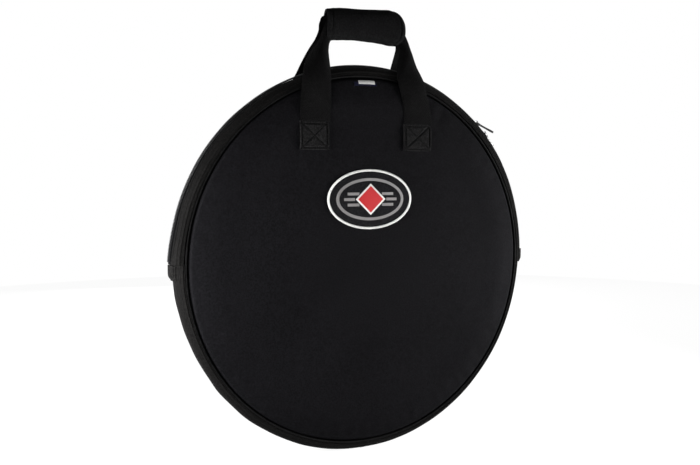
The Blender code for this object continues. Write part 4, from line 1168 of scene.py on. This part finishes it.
def embroidery(name, colour, slant):
    """Satin stitch: close slanting threads with a soft gloss."""
    made, tree, skin = new_finish(name)
    lay = add_node(tree, "Mapping", {"Vector": add_node(tree, "TexCoord")["Object"],
                                     "Rotation": (math.pi / 2, 0, slant)})
    floss = add_node(tree, "TexWave", {"Vector": lay[0], "Scale": 0.314 / floss_pitch, "Distortion": 0.6})
    height = add_node(tree, "Bump", {"Height": floss["Fac"], "Strength": 0.6, "Distance": 0.0002})
    tone = add_node(tree, "MapRange", {"Value": floss["Fac"], "To Min": 0.80, "To Max": 1.08})
    dye = add_node(tree, "VectorMath", {0: colour, "Scale": tone[0]}, "SCALE")
    tree.links.new(dye[0], skin.inputs["Base Color"])
    tree.links.new(height[0], skin.inputs["Normal"])
    skin.inputs["Roughness"].default_value = 0.5
    skin.inputs["Specular IOR Level"].default_value = 0.2
    return made


white_thread = embroidery("white_thread", (0.80, 0.80, 0.78), 0.7)
red_thread = embroidery("red_thread", (0.52, 0.018, 0.022), 1.2)
grey_thread = embroidery("grey_thread", (0.20, 0.19, 0.19), -0.6)


def press_on(bm, lift, thickness, edge):
    """Lays a flat shape on the crown of the front panel and gives it a rounded edge."""
    for vert in bm.verts:
        spot = vert.co + badge_middle
        vert.co = Vector((spot.x, -(panel_face(math.hypot(spot.x, spot.z)) + lift), spot.z))
    bm.normal_update()
    bm.faces.ensure_lookup_table()
    if bm.faces[0].normal.y > 0:
        bmesh.ops.reverse_faces(bm, faces=bm.faces)
    top = raise_faces(bm, (0, -thickness, 0))
    rim = [e for e in bm.edges if e.is_manifold and e.calc_face_angle() > 0.9
           and all(v in top for v in e.verts)]
    bmesh.ops.bevel(bm, geom=rim, offset=edge, segments=3, profile=0.5, affect="EDGES", material=-1)
    return bm


def flat_shape(points):
    """A filled outline with enough faces inside to follow the crown."""
    bm = bmesh.new()
    face = bm.faces.new([bm.verts.new((x, 0, z)) for x, z in points])
    bmesh.ops.poke(bm, faces=[face])
    bmesh.ops.subdivide_edges(bm, edges=bm.edges[:], cuts=2, use_grid_fill=True)
    return bm


def oval(width, height, count=72):
    """Points round an upright oval."""
    turns = [2 * math.pi * i / count for i in range(count)]
    return [(width / 2 * math.cos(turn), height / 2 * math.sin(turn)) for turn in turns]


patch = press_on(flat_shape(oval(0.1465, 0.0925)), 0.0003, 0.0011, 0.0003)
piece("badge_ground_patch", patch, patch_black, "lid", ["badge_base"])
bm = bmesh.new()
ring = oval(0.1440, 0.0900, 300)
for (x, z), (next_x, next_z) in zip(ring, ring[1:] + ring[:1]):
    ahead = Vector((next_x - x, 0, next_z - z)).normalized()
    part = bmesh.new()
    bmesh.ops.create_uvsphere(part, u_segments=8, v_segments=5, radius=0.5)
    bmesh.ops.scale(part, vec=(0.0044, 0.0022, 0.0019), verts=part.verts)
    turn = Matrix((Vector((0, -1, 0)).cross(ahead), Vector((0, -1, 0)), ahead)).transposed()
    spot = Vector((x, 0, z)) + badge_middle
    spot.y = -(panel_face(math.hypot(spot.x, spot.z)) + 0.0012)
    slanted = (turn @ Matrix.Rotation(0.35, 3, "Y")).to_4x4()
    bmesh.ops.transform(part, matrix=Matrix.Translation(spot) @ slanted, verts=part.verts)
    join(bm, part)
piece("badge_merrowed_border", bm, white_thread, "lid", ["badge_border"])
field = press_on(flat_shape(oval(0.1180, 0.0660)), 0.0015, 0.0004, 0.0002)
piece("badge_grey_field", field, grey_thread, "lid")
dark = press_on(flat_shape(oval(0.1080, 0.0570)), 0.0020, 0.0003, 0.0001)
piece("badge_dark_field", dark, patch_black, "lid")
lozenge = [(0.0260, 0), (0, 0.0245), (-0.0260, 0), (0, -0.0245)]
piece("badge_white_lozenge", press_on(flat_shape(lozenge), 0.0024, 0.0004, 0.0002), white_thread, "lid")
inner_lozenge = [(x * 0.84, z * 0.84) for x, z in lozenge]
piece("badge_red_lozenge", press_on(flat_shape(inner_lozenge), 0.0029, 0.0004, 0.0002), red_thread, "lid",
      ["badge_lozenge"])
for hand, mark in ((-1, "left"), (1, "right")):
    bm = bmesh.new()
    for level, reach in ((-0.0085, 0.040), (0, 0.046), (0.0085, 0.040)):
        near = 0.0275 - 0.9 * abs(level)
        bar = [(hand * near, level - 0.0022), (hand * reach, level - 0.0022), (hand * reach, level + 0.0022),
               (hand * near, level + 0.0022)]
        join(bm, press_on(flat_shape(bar), 0.0024, 0.0004, 0.0002))
    piece(f"badge_bars_{mark}", bm, grey_thread, "lid", [f"badge_bar_{mark}"])

# The small label: a folded strip of dark blue satin on the top edge of the panel, with
# a plain pale stripe woven in.
label_inner = 0.2762
label_outer = 0.2857
label_satin = woven("label_satin", (0.004, 0.0045, 0.016), 0.0004, 0.3, 0.4, gloss=0.06)


def label_strip(middle, wide, inner, outer, lift, thickness):
    """A strip that follows the panel's rounded edge."""
    bm = laid_grid(12, 10)
    for vert in bm.verts:
        x = middle + wide * vert.co.x
        radius = inner + (outer - inner) * (vert.co.y + 0.5)
        z = math.sqrt(radius ** 2 - x ** 2)
        lean = held((radius - 0.276) / edge_round, 0, 0.98)
        out = Vector((x / radius * lean, -math.sqrt(1 - lean * lean), z / radius * lean))
        vert.co = Vector((x, -panel_face(radius), z)) + out * lift
    lay_map(bm, lambda spot: (spot.x, spot.z))
    thicken(bm, lambda spot: Vector((0, -1, 0)), thickness)
    return bm


satin = label_strip(-0.005, 0.038, label_inner, label_outer, 0.0004, 0.0006)
piece("top_label_satin", satin, label_satin, "lid", ["top_label"])
stripe = label_strip(-0.003, 0.028, label_inner + 0.0022, label_outer - 0.0022, 0.0011, 0.0003)
piece("top_label_stripe", stripe, white_thread, "lid")
